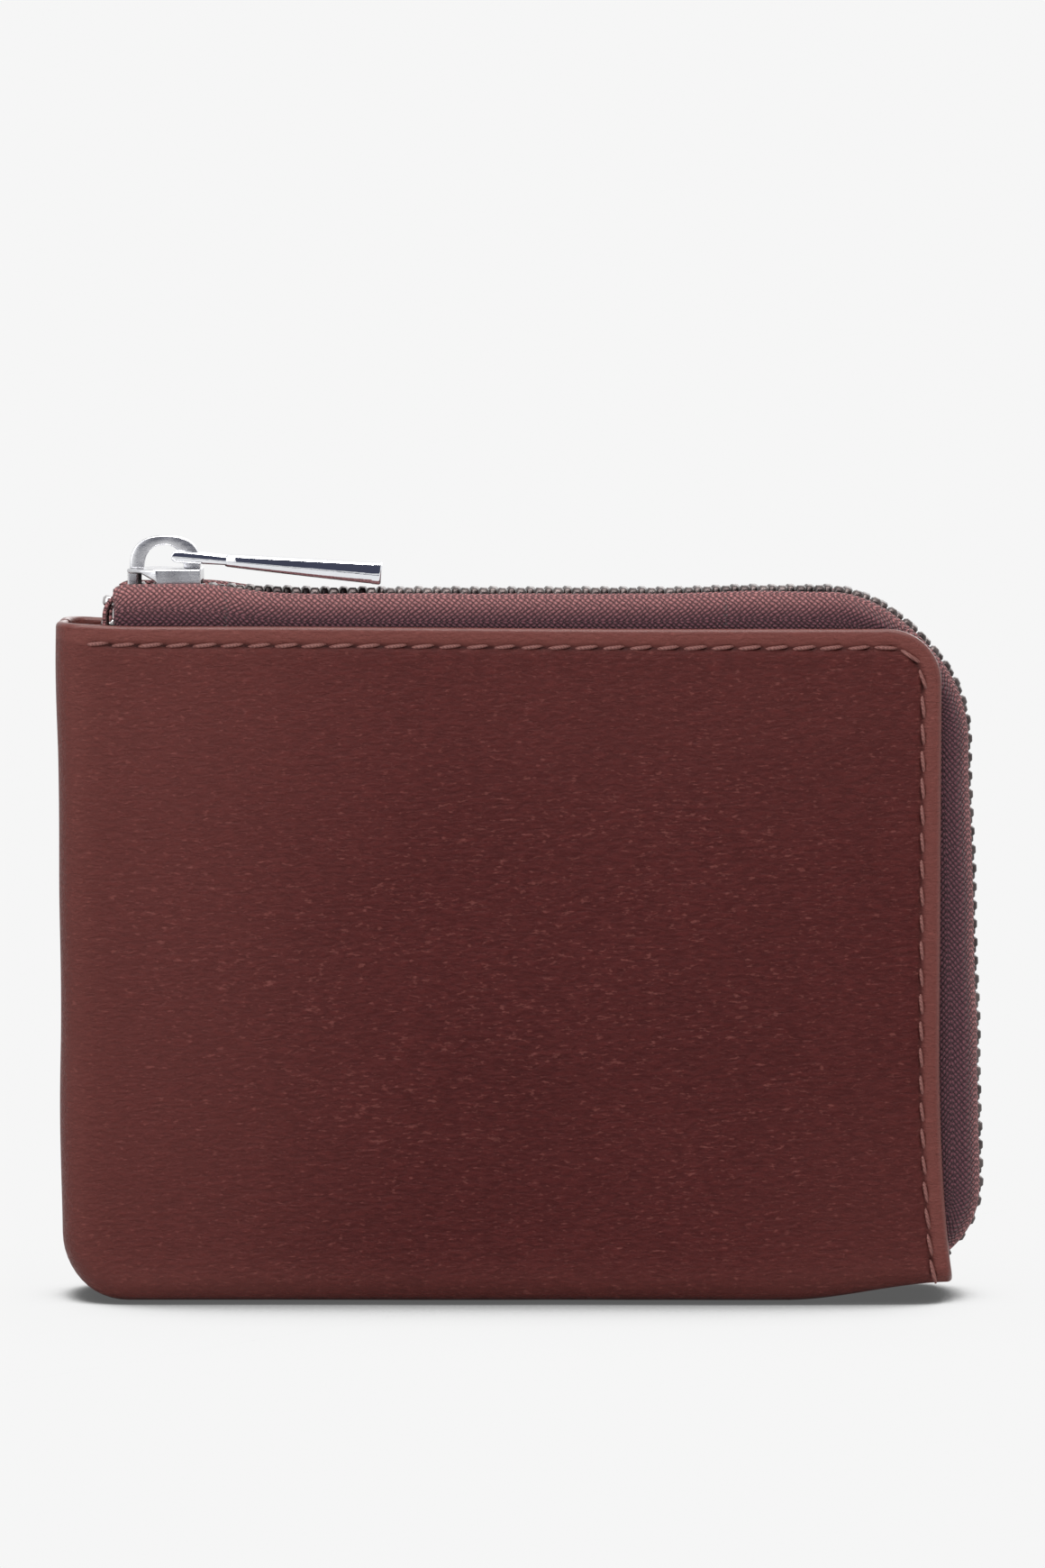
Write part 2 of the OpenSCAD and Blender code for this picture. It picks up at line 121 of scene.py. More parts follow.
def studio_card(name, corners, finish, mirrored_only=False):
    """A flat four-cornered piece of the studio."""
    mesh = bpy.data.meshes.new(name)
    mesh.from_pydata(corners, [], [(0, 1, 2, 3)])
    mesh.materials.append(finish)
    card = bpy.data.objects.new(name, mesh)
    scene.collection.objects.link(card)
    if mirrored_only:
        card.visible_camera = False
        card.visible_diffuse = False
        card.visible_shadow = False


table_finish = bpy.data.materials.new("table_paper")
tree = blank_tree(table_finish)
# Painted contact shadow: ambient occlusion darkens the table's glow near the pouch.
painted_contact_shadow = node(tree, "ShaderNodeAmbientOcclusion", {"Distance": 0.04}, samples=24)
shade = node(tree, "ShaderNodeValToRGB", {"Fac": painted_contact_shadow.outputs["AO"]})
levels = shade.color_ramp.elements
levels[0].position = 0.2
levels[0].color = (0.10, 0.10, 0.10, 1)
levels[1].position = 0.99
levels[1].color = (*paper, 1)
for openness, level in ((0.42, 0.12), (0.49, 0.26), (0.54, 0.52), (0.58, 0.76), (0.65, 0.87), (0.75, 0.91)):
    levels.new(openness).color = (level, level, level, 1)
glow = node(tree, "ShaderNodeEmission", {"Color": shade.outputs["Color"]})
matt = node(tree, "ShaderNodeBsdfDiffuse", {"Color": (0.8, 0.8, 0.8)})
by_ray(tree, matt, glow, "ShaderNodeOutputMaterial")
studio_card("table", [(-9, -9, 0), (9, -9, 0), (9, 9, 0), (-9, 9, 0)], table_finish)

room = bpy.data.worlds.new("room")
tree = blank_tree(room)
room_fill = node(tree, "ShaderNodeBackground", {"Color": (0.9, 0.95, 1), "Strength": 0.36})
room_seen = node(tree, "ShaderNodeBackground", {"Color": paper})
by_ray(tree, room_fill, room_seen, "ShaderNodeOutputWorld")
scene.world = room

lamps = {
    "lamp_above": ((0.0, -0.15, 0.9), (0.7, 0.7), 5.0, (1, 0.98, 0.96)),
    "lamp_strip": ((0.0, -0.42, 0.7), (0.8, 0.05), 2.6, (1, 0.98, 0.96)),
    "lamp_front_left": ((-0.75, -0.9, 0.5), (0.8, 0.8), 6.0, (0.95, 0.97, 1)),
    "lamp_front_right": ((0.6, -1.0, 0.55), (0.8, 0.8), 3.6, (1, 0.98, 0.96)),
    "lamp_back": ((0.3, 1.0, 0.6), (0.8, 0.8), 4.0, (1, 1, 1)),
}
for name, (spot, width, watts, tint) in lamps.items():
    lamp_data = bpy.data.lights.new(name, "AREA")
    lamp_data.shape = "RECTANGLE"
    lamp_data.size, lamp_data.size_y = width
    lamp_data.energy = watts
    lamp_data.color = tint
    lamp = bpy.data.objects.new(name, lamp_data)
    lamp.location = spot
    lamp.rotation_euler = (lamp_aim - Vector(spot)).to_track_quat("-Z", "Y").to_euler()
    scene.collection.objects.link(lamp)

card_finish = bpy.data.materials.new("dark_card")
tree = blank_tree(card_finish)
card_glow = node(tree, "ShaderNodeEmission", {"Color": (0.06, 0.065, 0.10)})
node(tree, "ShaderNodeOutputMaterial", {"Surface": card_glow.outputs[0]})
cards = {
    "card_over": [(-0.16, -0.5, 0.074), (0.6, -0.5, 0.074), (0.6, -0.34, 0.5), (-0.16, -0.34, 0.5)],
    "card_low": [(-0.5, -0.6, 0.004), (0.5, -0.6, 0.004), (0.5, -0.6, 0.03), (-0.5, -0.6, 0.03)],
}
for name, corners in cards.items():
    studio_card(name, corners, card_finish, mirrored_only=True)

# ---- Leather panels ----
# Two panels of soft burgundy-brown calf, front and back. They are sewn face to face along
# the left side and the bottom and turned out, so those edges are rolled; the top and the
# right side are folded over as a hem.
mm = 0.001
left_x = -60.0
hem_z = 87.6
seam_corner = 9.0
hem_corner = 7.0
hem_side_x = 53.6
panel_depth = 8.5
fold_r = 0.65
roll_in = 3.6
roll_back = 4.5
plain_from = 6.0
stitch_in = 2.4
stitch_pitch = 3.45
stitch_start_x = -54.5
hem_rows = (0.65, 0.9, 1.2, 1.5, 1.8, 2.05, 2.25, 2.4, 2.55, 2.75, 3.0, 3.4, 3.9, 4.6, 5.4)
hem_point_step = 0.69
hem_turn_steps = 14
turned_in = (
    (5.0, 0.26), (3.6, 0.16), (2.3, 0.14), (1.3, 0.2), (0.75, 0.42), (0.32, 0.95), (0.1, 1.8), (0.0, 2.8),
)
face_step_x = 1.5
face_step_z = 1.6
seam_lift = 2.4
hem_centre = (hem_side_x - hem_corner, hem_z - hem_corner)
stitch_top = hem_centre[0] - stitch_start_x
stitch_arc = (hem_corner - stitch_in) * math.pi / 2
stitch_total = stitch_pitch * 54


def smooth(t):
    t = min(1.0, max(0.0, t))
    return t * t * (3 - 2 * t)


def bell(distance, width):
    return math.exp(-((distance / width) ** 2))


def hem_x(z):
    """The right hem runs straight down and flares out towards the bottom."""
    return hem_side_x + 2.0 * max(0.0, (35 - z) / 35) ** 2


def from_hem(x, z):
    """Distance in from the hem, and the way along the stitch line."""
    over = x - hem_centre[0]
    up = z - hem_centre[1]
    if over > 0 and up > 0:
        return hem_corner - math.hypot(over, up), stitch_top + math.atan2(over, up) / (math.pi / 2) * stitch_arc
    top = hem_z - z
    side = hem_x(z) - x
    if top < side:
        return top, x - stitch_start_x
    return side, stitch_top + stitch_arc + hem_centre[1] - z


def depth_at(x, z, seed):
    """How far the leather's face stands out from the middle plane."""
    inside, along = from_hem(x, z)
    crown = max(0.0, 1 - ((x + 2) / 60) ** 2) * max(0.0, 1 - ((z - 42) / 46) ** 2)
    depth = panel_depth + 0.55 * crown
    depth += 0.28 * noise.noise(Vector((x / 30, z / 24, seed))) * smooth(inside / 12)
    depth += 0.05 * noise.noise(Vector((x / 6, z / 7, seed + 5)))
    if -1 < along < stitch_total + 1:
        hole = (((along / stitch_pitch) % 1.0) - 0.5) * stitch_pitch
        depth -= 0.24 * bell(inside - stitch_in, 0.42)
        depth -= 0.26 * bell(inside - stitch_in, 0.45) * bell(hole, 0.42)
        depth += 0.10 * bell(inside - 1.15, 0.6) * (1 - 0.7 * bell(hole, 0.8))
        depth += 0.07 * bell(inside - 3.9, 0.8) * (1 - 0.7 * bell(hole, 0.8))
    return depth


def groove_shade_at(x, z):
    """How deep in the stitched groove a point lies, as a mark for painted shade there."""
    inside, along = from_hem(x, z)
    if not -0.5 < along < stitch_total + 0.5:
        return 0.0
    hole = (((along / stitch_pitch) % 1.0) - 0.5) * stitch_pitch
    return bell(inside - stitch_in - 0.1, 0.3) * (0.45 + 0.55 * bell(hole, 0.6))


def rub_and_painted_light_at(x, z, back):
    """How much paler the leather is made: rubbed wear and a painted highlight, most on the hem and its fold, a
    painted highlight on the rolled edge, and painted light over the left part, the top and the lower right of
    the face.
    """
    corner_x = max(0.0, left_x + seam_corner - x)
    corner_z = max(0.0, seam_corner - z)
    edge = seam_corner - math.hypot(corner_x, corner_z)
    if not (corner_x and corner_z):
        edge = min(x - left_x, z)
    # Painted highlight along the rolled edge.
    rolled = 0.3 * bell(edge, 4.2) * bell(max(0.0, back - 4.5), 2.5)
    inside = from_hem(x, z)[0]
    # Painted light: the left part, the top and the lower right of the face are made paler.
    broad = 0.30 * smooth((-x - 8) / 48) + 0.12 * smooth((z - 50) / 36)
    broad += 0.16 * smooth((x - 20) / 30) * smooth((40 - z) / 40)
    return min(1.0, max(rolled, 0.85 * (1 - smooth((inside - 1.6) / 1.6))) + broad * smooth(inside / 3))


def settle(x, depth, z, front):
    """The small ways in which a sewn pouch strays from its pattern."""
    top = smooth((z - 60) / 27)
    z += top * (0.45 * bell(x + 60, 6) - 0.32 * smooth((x + 40) / 60))
    if z < 20:
        z += seam_lift * smooth((x - 34) / 22) * (1 - z / 20) ** 2
    if front:
        x += 0.35 * bell(x + 60, 4) * (1 - smooth((z - 70) / 15))
        x += 0.25 * noise.noise(Vector((z / 18, 0.5, 0))) * bell(x + 60, 5)
    return x * mm, (-depth if front else depth) * mm, z * mm


def seam_column(kind, place_along, front_seed):
    """One line of points across the rolled edge, from the turned allowance to the face."""
    column = [(inside, depth, False) for inside, depth in turned_in]
    for step in range(9, -1, -1):
        angle = math.pi / 2 * step / 9
        column.append((roll_in * (1 - math.sin(angle)), roll_back * (1 - math.cos(angle)), True))
    for inside in (4.4, 5.2, plain_from):
        column.append((inside, 0.0, True))
    points = []
    for inside, depth, from_face in column:
        if kind == "side":
            x, z = left_x + inside, place_along
        elif kind == "corner":
            reach = seam_corner - inside
            x = left_x + seam_corner - reach * math.cos(place_along)
            z = seam_corner - reach * math.sin(place_along)
        else:
            z = inside
            share, hem_distance = place_along
            last = hem_x(z) - hem_distance
            x = left_x + seam_corner + (last - left_x - seam_corner) * share
        if from_face:
            depth = depth_at(x, z, front_seed) - depth
        points.append((x, depth, z))
    return points


def fold_normal(before, after, kind):
    """Outward direction of the rolled edge, in the plane across it."""
    first = 0 if kind == "side" else 2
    run = after[first] - before[first]
    rise = -(after[1] - before[1])
    size = math.hypot(run, rise) or 1
    outward = [0.0, run / size, 0.0]
    outward[first] = rise / size
    return outward


def join_rows(bm, rows):
    """Faces between each row of points and the next, where all four points are there."""
    for a, b in zip(rows, rows[1:]):
        for corners in zip(a, a[1:], b[1:], b):
            if all(corners):
                bm.faces.new(corners)


def leather_panel(name, front, seed):
    """One panel: its rolled edge, its face, and its hem folded over."""
    bm = bmesh.new()
    rub_and_painted_light = bm.verts.layers.float.new("rub_and_painted_light")
    painted_groove_shade = bm.verts.layers.float.new("painted_groove_shade")
    burnish = bm.verts.layers.float.new("burnish")

    def point(spot, wear, gloss=0.0):
        vertex = bm.verts.new(settle(spot[0], spot[1], spot[2], front))
        # This edge mark carries rubbed wear and painted light.
        vertex[rub_and_painted_light] = wear
        vertex[painted_groove_shade] = groove_shade_at(spot[0], spot[2])
        vertex[burnish] = gloss
        return vertex

    # the rolled edge, down the left side, round the corner and along the bottom
    side_steps, corner_steps, bottom_steps = 62, 12, 84
    start = hem_z - hem_rows[-1]
    columns = [("side", hem_z - distance) for distance in hem_rows]
    columns += [("side", start + (seam_corner - start) * i / side_steps) for i in range(1, side_steps + 1)]
    columns += [("corner", math.pi / 2 * i / corner_steps) for i in range(1, corner_steps + 1)]
    columns += [("bottom", (i / bottom_steps, hem_rows[-1])) for i in range(1, bottom_steps + 1)]
    columns += [("bottom", (1.0, distance)) for distance in reversed(hem_rows[:-1])]
    flat = [seam_column(kind, place_along, seed) for kind, place_along in columns]
    grid = []
    for line in flat:
        grid.append([point(spot, rub_and_painted_light_at(spot[0], spot[2], panel_depth - spot[1])) for spot in line])
    join_rows(bm, grid)

    # the face, with close rows of points along the hem
    outline = [(line[-1][0], line[-1][2]) for line in reversed(flat)]
    across = left_x + plain_from
    count = int((hem_centre[0] - across) / hem_point_step)
    hem_line = [(across + (hem_centre[0] - across) * i / count, None) for i in range(count)]
    hem_line += [(None, math.pi / 2 * i / hem_turn_steps) for i in range(hem_turn_steps + 1)]
    count = int((hem_centre[1] - plain_from) / hem_point_step)
    for i in range(1, count + 1):
        hem_line.append((hem_centre[1] + (plain_from - hem_centre[1]) * i / count, "side"))

    def hem_point(spot, distance):
        where, turn = spot
        if turn is None:
            return where, hem_z - distance
        if turn == "side":
            return hem_x(where) - distance, where
        reach = hem_corner - distance
        return hem_centre[0] + reach * math.sin(turn), hem_centre[1] + reach * math.cos(turn)

    first_row = [hem_point(spot, fold_r) for spot in hem_line]
    outline = first_row[1:-1] + outline
    points = [Vector(spot) for spot in outline]
    border = [(i, (i + 1) % len(points)) for i in range(len(points))]
    for distance in hem_rows[1:]:
        points += [Vector(hem_point(spot, distance)) for spot in hem_line[1:-1]]
    x = left_x + plain_from + 1.1
    row = 0
    while x < hem_side_x - 5.6:
        z = plain_from + 1.0 + (0.8 if row % 2 else 0)
        while z < hem_z - 6.2:
            distance = from_hem(x, z)[0]
            lower = math.hypot(min(0.0, x - left_x - seam_corner), min(0.0, z - seam_corner))
            if distance > 6.2 and lower < seam_corner - plain_from - 0.7:
                points.append(Vector((x, z)))
            z += face_step_z
        x += face_step_x
        row += 1
    spots, _, triangles, *_ = delaunay_2d_cdt(points, border, [], 1, 1e-5)
    face_verts = []
    for spot in spots:
        spot = (spot.x, depth_at(spot.x, spot.y, seed), spot.y)
        face_verts.append(point(spot, rub_and_painted_light_at(spot[0], spot[2], 0)))
    for a, b, c in triangles:
        bm.faces.new((face_verts[a], face_verts[b], face_verts[c]))

    # the hem, folded over and laid back inside
    ends = []
    for line, kind, off in ((flat[0], "side", (0, 0, 1)), (flat[-1], "bottom", (1, 0, 0))):
        part = []
        for i in range(4, len(line)):
            outward = fold_normal(line[i - 1], line[min(i + 1, len(line) - 1)], kind)
            part.append((line[i], off, outward))
        ends.append(part)
    middle = []
    for (_, turn), (x, z) in zip(hem_line[1:-1], first_row[1:-1]):
        turn = {None: 0.0, "side": math.pi / 2}.get(turn, turn)
        off = (math.sin(turn), 0, math.cos(turn))
        middle.append(((x, depth_at(x, z, seed), z), off, (0.0, 1.0, 0.0)))
    rings = []
    for spot, off, outward in ends[0] + middle + ends[1][::-1]:
        ring = []
        for i in range(9):
            angle = math.pi * i / 8
            out = fold_r * math.sin(angle)
            back = fold_r * (1 - math.cos(angle))
            # The fold is palest at its apex, as rubbed wear and a painted highlight.
            ring.append(point(
                [spot[k] + off[k] * out - outward[k] * back for k in range(3)],
                0.85 + 0.15 * math.sin(angle), 0.8 * math.sin(angle),
            ))
        for inside in (1.4, 3.0, 4.8):
            ring.append(point([spot[k] - off[k] * inside - outward[k] * 2 * fold_r for k in range(3)], 0))
        rings.append(ring)
    join_rows(bm, rings)

    bmesh.ops.remove_doubles(bm, verts=bm.verts, dist=1e-6)
    bmesh.ops.recalc_face_normals(bm, faces=bm.faces)
    lean = sum(f.normal.y * f.calc_area() for f in bm.faces if abs(f.calc_center_median().y) > 0.0083)
    if (lean > 0) == front:
        bmesh.ops.reverse_faces(bm, faces=bm.faces)
    return finished(name, bm, leather, thickness=0.55)


def finished(name, bm, material, thickness=0.0, offset=-1.0):
    """A piece from its mesh, with its finish, smooth shading and thickness."""
    mesh = bpy.data.meshes.new(name)
    bm.to_mesh(mesh)
    bm.free()
    mesh.materials.append(material)
    for face in mesh.polygons:
        face.use_smooth = True
    piece = bpy.data.objects.new(name, mesh)
    scene.collection.objects.link(piece)
    if thickness:
        wall = piece.modifiers.new("thickness", "SOLIDIFY")
        wall.thickness = thickness * mm
        wall.offset = offset
    return piece


def shader_group(name, inputs, outputs):
    """An empty shader group and its inputs; an input with no usual value is a place."""
    tree = bpy.data.node_groups.new(name, "ShaderNodeTree")
    for label, value in inputs.items():
        kind = "NodeSocketVector" if value is None else "NodeSocketFloat"
        socket = tree.interface.new_socket(label, in_out="INPUT", socket_type=kind)
        if value is not None:
            socket.default_value = value
    for label in outputs:
        tree.interface.new_socket(label, in_out="OUTPUT", socket_type="NodeSocketFloat")
    return tree, node(tree, "NodeGroupInput").outputs


def new_finish(name):
    """A new material with an empty tree."""
    material = bpy.data.materials.new(name)
    return material, blank_tree(material)


def place_on(tree):
    """The place on the piece, in metres."""
    return node(tree, "ShaderNodeTexCoord").outputs["Object"]


def noise_on(tree, place, scale, turn=0.0, **values):
    """Noise laid on a place, with one scale, or with one for each axis."""
    if isinstance(scale, tuple):
        laid = {"Vector": place, "Scale": scale, "Rotation": (0, turn, 0)}
        place = node(tree, "ShaderNodeMapping", laid).outputs[0]
        scale = 1
    return node(tree, "ShaderNodeTexNoise", {"Vector": place, "Scale": scale, **values}).outputs["Fac"]


def marked(tree, attribute):
    """How strongly a piece's own mark lies on it."""
    return node(tree, "ShaderNodeAttribute", attribute_name=attribute).outputs["Fac"]


def stretched(tree, value, low, high):
    """0 at the low value and 1 at the high one."""
    return node(tree, "ShaderNodeMapRange", {"Value": value, "From Min": low, "From Max": high}).outputs[0]


def ranged(tree, value, low, high):
    """From low to high, by a value from 0 to 1."""
    return node(tree, "ShaderNodeMapRange", {"Value": value, "To Min": low, "To Max": high}).outputs[0]


def mixed(tree, share, first, second, **settings):
    """The first colour, and the second by its share."""
    return node(tree, "ShaderNodeMix", {0: share, 6: first, 7: second}, data_type="RGBA", **settings).outputs[2]


def relief(tree, height, strength, distance):
    """The slope that a height gives the surface."""
    values = {"Height": height, "Strength": strength, "Distance": distance}
    return node(tree, "ShaderNodeBump", values).outputs[0]


def surface(tree, values):
    """Ends a material in one shaded surface."""
    skin = node(tree, "ShaderNodeBsdfPrincipled", values)
    node(tree, "ShaderNodeOutputMaterial", {"Surface": skin.outputs[0]})


def leather_grain_group():
    """Fine creases that run along the hide, pores between them, and pale flecks."""
    tree, given = shader_group(
        "leather_grain", {"Place": None, "Crease Size": 1.0}, ("Tone", "Height", "Fleck")
    )
    sized = node(
        tree, "ShaderNodeVectorMath", {0: given["Place"], "Scale": given["Crease Size"]}, operation="SCALE"
    ).outputs[0]
    crease = noise_on(tree, sized, (620, 900, 2000), 0.08, Detail=4, Roughness=0.68, Distortion=0.5)
    pores = node(
        tree, "ShaderNodeTexVoronoi", {"Vector": sized, "Scale": 2100, "Smoothness": 0.4}, feature="SMOOTH_F1"
    ).outputs["Distance"]
    broad = noise_on(tree, sized, 45, Detail=3)
    specks = noise_on(tree, sized, (1000, 1500, 2600))
    even = calc(tree, "MULTIPLY", broad, 0.5)
    node(tree, "NodeGroupOutput", {
        "Tone": calc(tree, "MULTIPLY_ADD", stretched(tree, crease, 0.4, 0.62), 0.55, even),
        "Height": calc(tree, "MULTIPLY_ADD", pores, 0.28, crease),
        "Fleck": stretched(tree, specks, 0.6, 0.74),
    })
    return tree


leather_grain = leather_grain_group()


def leather_finish(name, deep, pale, rubbed_and_painted_light_colour, rough, bump, crease_size=1.0):
    """Dyed leather: deep in its creases, paler between, with painted shade in the stitched groove, and paler at
    folded edges and over parts of the face as rubbed wear and painted light.
    """
    material, tree = new_finish(name)
    laid = {"Place": place_on(tree), "Crease Size": crease_size}
    grain = node(tree, "ShaderNodeGroup", laid, node_tree=leather_grain).outputs
    fleck_colour = (rubbed_and_painted_light_colour[0] * 1.5, rubbed_and_painted_light_colour[1] * 1.6, rubbed_and_painted_light_colour[2] * 1.6)
    # Painted shade: the stitched groove goes towards a third of the deep colour.
    groove_shade_colour = tuple(c * 0.3 for c in deep)
    colour = mixed(tree, grain["Tone"], deep, pale)
    # Towards the paler colour where the edge mark lies: rubbed wear, painted highlight and painted light.
    colour = mixed(tree, marked(tree, "rub_and_painted_light"), colour, rubbed_and_painted_light_colour)
    colour = mixed(tree, calc(tree, "MULTIPLY", grain["Fleck"], 0.45), colour, fleck_colour)
    surface(tree, {
        "Base Color": mixed(tree, marked(tree, "painted_groove_shade"), colour, groove_shade_colour),
        "Roughness": ranged(tree, grain["Tone"], rough + 0.08, rough - 0.08),
        "Normal": relief(tree, grain["Height"], bump, 0.0003),
        "Specular IOR Level": 0.1,
        "Coat Weight": marked(tree, "burnish"),
        "Coat Roughness": 0.3,
    })
    return material


leather = leather_finish(
    "burgundy_leather", (0.036, 0.0048, 0.0046), (0.072, 0.0125, 0.0115), (0.126, 0.038, 0.032), 0.45, 1.0
)
front_leather = leather_panel("front_leather", True, 1.7)
back_leather = leather_panel("back_leather", False, 8.3)
for piece, replaced in ((front_leather, "front_panel"), (back_leather, "back_panel")):
    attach(piece, "shell")
    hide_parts(replaced)

# ---- Topstitching ----
# Waxed thread, sewn through both layers of the hem on each panel. Each stitch lies in the
# groove it has pulled, a little aslant, and dives into the leather at both ends.


def repeat_tree():
    """Places one shape at even steps along a line, leaning by a set angle."""
    tree = bpy.data.node_groups.new("repeat_along", "GeometryNodeTree")
    kinds = {
        "Line": "Geometry", "Shape": "Object", "Spacing": "Float", "Lean": "Float", "Unevenness": "Float",
        "Finish": "Material",
    }
    for label, kind in kinds.items():
        tree.interface.new_socket(label, in_out="INPUT", socket_type="NodeSocket" + kind)
    tree.interface.new_socket("Pieces", in_out="OUTPUT", socket_type="NodeSocketGeometry")
    given = node(tree, "NodeGroupInput").outputs

    def step(kind, values=None, **settings):
        return node(tree, kind, values, **settings).outputs[0]

    curve = step("GeometryNodeMeshToCurve", {0: given["Line"]})
    points = step("GeometryNodeResampleCurve", {"Curve": curve, "Length": given["Spacing"]}, mode="LENGTH")
    shape = node(tree, "GeometryNodeObjectInfo", {0: given["Shape"]}).outputs["Geometry"]
    tangent = step("GeometryNodeInputTangent")
    aligned = step("FunctionNodeAlignRotationToVector", {"Vector": tangent}, axis="X", pivot_axis="Y")
    lean = step("FunctionNodeEulerToRotation", {0: step("ShaderNodeCombineXYZ", {"Y": given["Lean"]})})
    turned = step(
        "FunctionNodeRotateRotation", {"Rotation": aligned, "Rotate By": lean}, rotation_space="LOCAL"
    )
    smallest = calc(tree, "SUBTRACT", 1, given["Unevenness"])
    largest = calc(tree, "ADD", 1, given["Unevenness"])
    uneven = {2: smallest, 3: largest, "Seed": 4}
    size = node(tree, "FunctionNodeRandomValue", uneven, data_type="FLOAT").outputs[1]
    placed = step(
        "GeometryNodeInstanceOnPoints", {"Points": points, "Instance": shape, "Rotation": turned, "Scale": size}
    )
    real = step("GeometryNodeRealizeInstances", {0: placed})
    finish = step("GeometryNodeSetMaterial", {"Geometry": real, "Material": given["Finish"]})
    node(tree, "NodeGroupOutput", {0: finish})
    return tree


repeat_along = repeat_tree()


def along_line(name, line, shape, spacing, lean, unevenness, finish):
    """A plain mesh of one shape repeated along a line of points in metres."""
    mesh = bpy.data.meshes.new(name + "_line")
    mesh.from_pydata(line, [(i, i + 1) for i in range(len(line) - 1)], [])
    maker = bpy.data.objects.new(name, mesh)
    scene.collection.objects.link(maker)
    modifier = maker.modifiers.new("repeat", "NODES")
    modifier.node_group = repeat_along
    values = {"Shape": shape, "Spacing": spacing, "Lean": lean, "Unevenness": unevenness, "Finish": finish}
    for item in repeat_along.interface.items_tree:
        if item.in_out == "INPUT" and item.name in values:
            modifier[item.identifier] = values[item.name]
    ready = maker.evaluated_get(bpy.context.evaluated_depsgraph_get())
    made = bpy.data.meshes.new_from_object(ready)
    maker.modifiers.remove(modifier)
    made.name = name
    maker.data = made
    for face in made.polygons:
        face.use_smooth = True
    return maker


def hidden_shape(name, verts, faces):
    """A small shape that is only used as the pattern for a repeat."""
    mesh = bpy.data.meshes.new(name)
    mesh.from_pydata(verts, [], faces)
    return bpy.data.objects.new(name, mesh)


def rings_to_faces(rings, around):
    """Faces of a closed tube of rings with both ends capped."""
    faces = []
    for i in range(rings - 1):
        for j in range(around):
            k = (j + 1) % around
            faces.append((i * around + j, i * around + k, (i + 1) * around + k, (i + 1) * around + j))
    faces.append(tuple(range(around - 1, -1, -1)))
    faces.append(tuple((rings - 1) * around + j for j in range(around)))
    return faces


def thread_stitch(name, length, thick, rise):
    """One stitch: a round thread that bows out of the leather and dives back in."""
    verts = []
    for i in range(7):
        share = i / 6 * 2 - 1
        narrow = thick / 2 * (1 - 0.55 * share ** 4)
        out = rise * (1 - share ** 2) - rise * 0.4
        for j in range(8):
            angle = 2 * math.pi * j / 8
            verts.append((
                share * length / 2 * mm, (-out + narrow * math.cos(angle)) * mm, narrow * math.sin(angle) * mm
            ))
    return hidden_shape(name, verts, rings_to_faces(7, 8))


def thread_finish(name, dark, pale):
    """Twisted thread: two plies that show as fine slanting bands."""
    material, tree = new_finish(name)
    where = place_on(tree)
    plies = node(
        tree, "ShaderNodeTexWave", {"Vector": where, "Scale": 1300, "Distortion": 1.5},
        wave_type="BANDS", bands_direction="DIAGONAL",
    ).outputs["Fac"]
    surface(tree, {
        "Base Color": mixed(tree, plies, dark, pale),
        "Roughness": ranged(tree, noise_on(tree, where, 2600), 0.45, 0.75),
        "Normal": relief(tree, plies, 0.6, 0.0001),
    })
    return material


thread = thread_finish("waxed_thread", (0.12, 0.038, 0.032), (0.19, 0.070, 0.058))
stitch_shape = thread_stitch("stitch_shape", 3.05, 0.52, 0.28)


def topstitch(name, front, seed, replaced):
    """The stitches of one panel's hem, along the top, round the corner and down the side."""
    line = []
    points = 540
    for i in range(points + 1):
        along = stitch_total * i / points
        if along < stitch_top:
            x, z = stitch_start_x + along, hem_z - stitch_in
        elif along < stitch_top + stitch_arc:
            turn = (along - stitch_top) / stitch_arc * math.pi / 2
            reach = hem_corner - stitch_in
            x, z = hem_centre[0] + reach * math.sin(turn), hem_centre[1] + reach * math.cos(turn)
        else:
            z = hem_centre[1] - (along - stitch_top - stitch_arc)
            x = hem_x(z) - stitch_in
        depth = depth_at(x, z, seed) - 0.12
        line.append(settle(x, max(depth, panel_depth - 0.24), z, front))
    piece = along_line(name, line, stitch_shape, stitch_pitch * mm, math.radians(-7), 0.06, thread)
    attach(piece, "shell")
    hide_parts(replaced)


topstitch("front_hem_stitches", True, 1.7, "front_topstitch")
topstitch("back_hem_stitches", False, 8.3, "back_topstitch")

# ---- Seam ----
# Both panels are sewn together along the left side and the bottom, a millimetre inside the
# rolled edge. Short stitches of the same thread cross the seam there.
seam_inset = 1.5
seam_top = hem_z - 5
seam_end_x = 44
seam_reach = seam_corner - seam_inset
seam_line = []
for i in range(120):
    seam_line.append((left_x + seam_inset, 0, seam_top + (seam_corner - seam_top) * i / 120))
for i in range(20):
    turn = math.pi / 2 * i / 20
    x = left_x + seam_corner - seam_reach * math.cos(turn)
    seam_line.append((x, 0, seam_corner - seam_reach * math.sin(turn)))
for i in range(121):
    seam_line.append((left_x + seam_corner + (seam_end_x - left_x - seam_corner) * i / 120, 0, seam_inset))
seam_shape = thread_stitch("seam_shape", 2.9, 0.5, 0.0)
seam_stitches = along_line(
    "seam_stitches",
    [tuple(c * mm for c in spot) for spot in seam_line],
    seam_shape, 0.0036, 0.0, 0.05, thread,
)
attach(seam_stitches, "shell")
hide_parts("seam_thread")

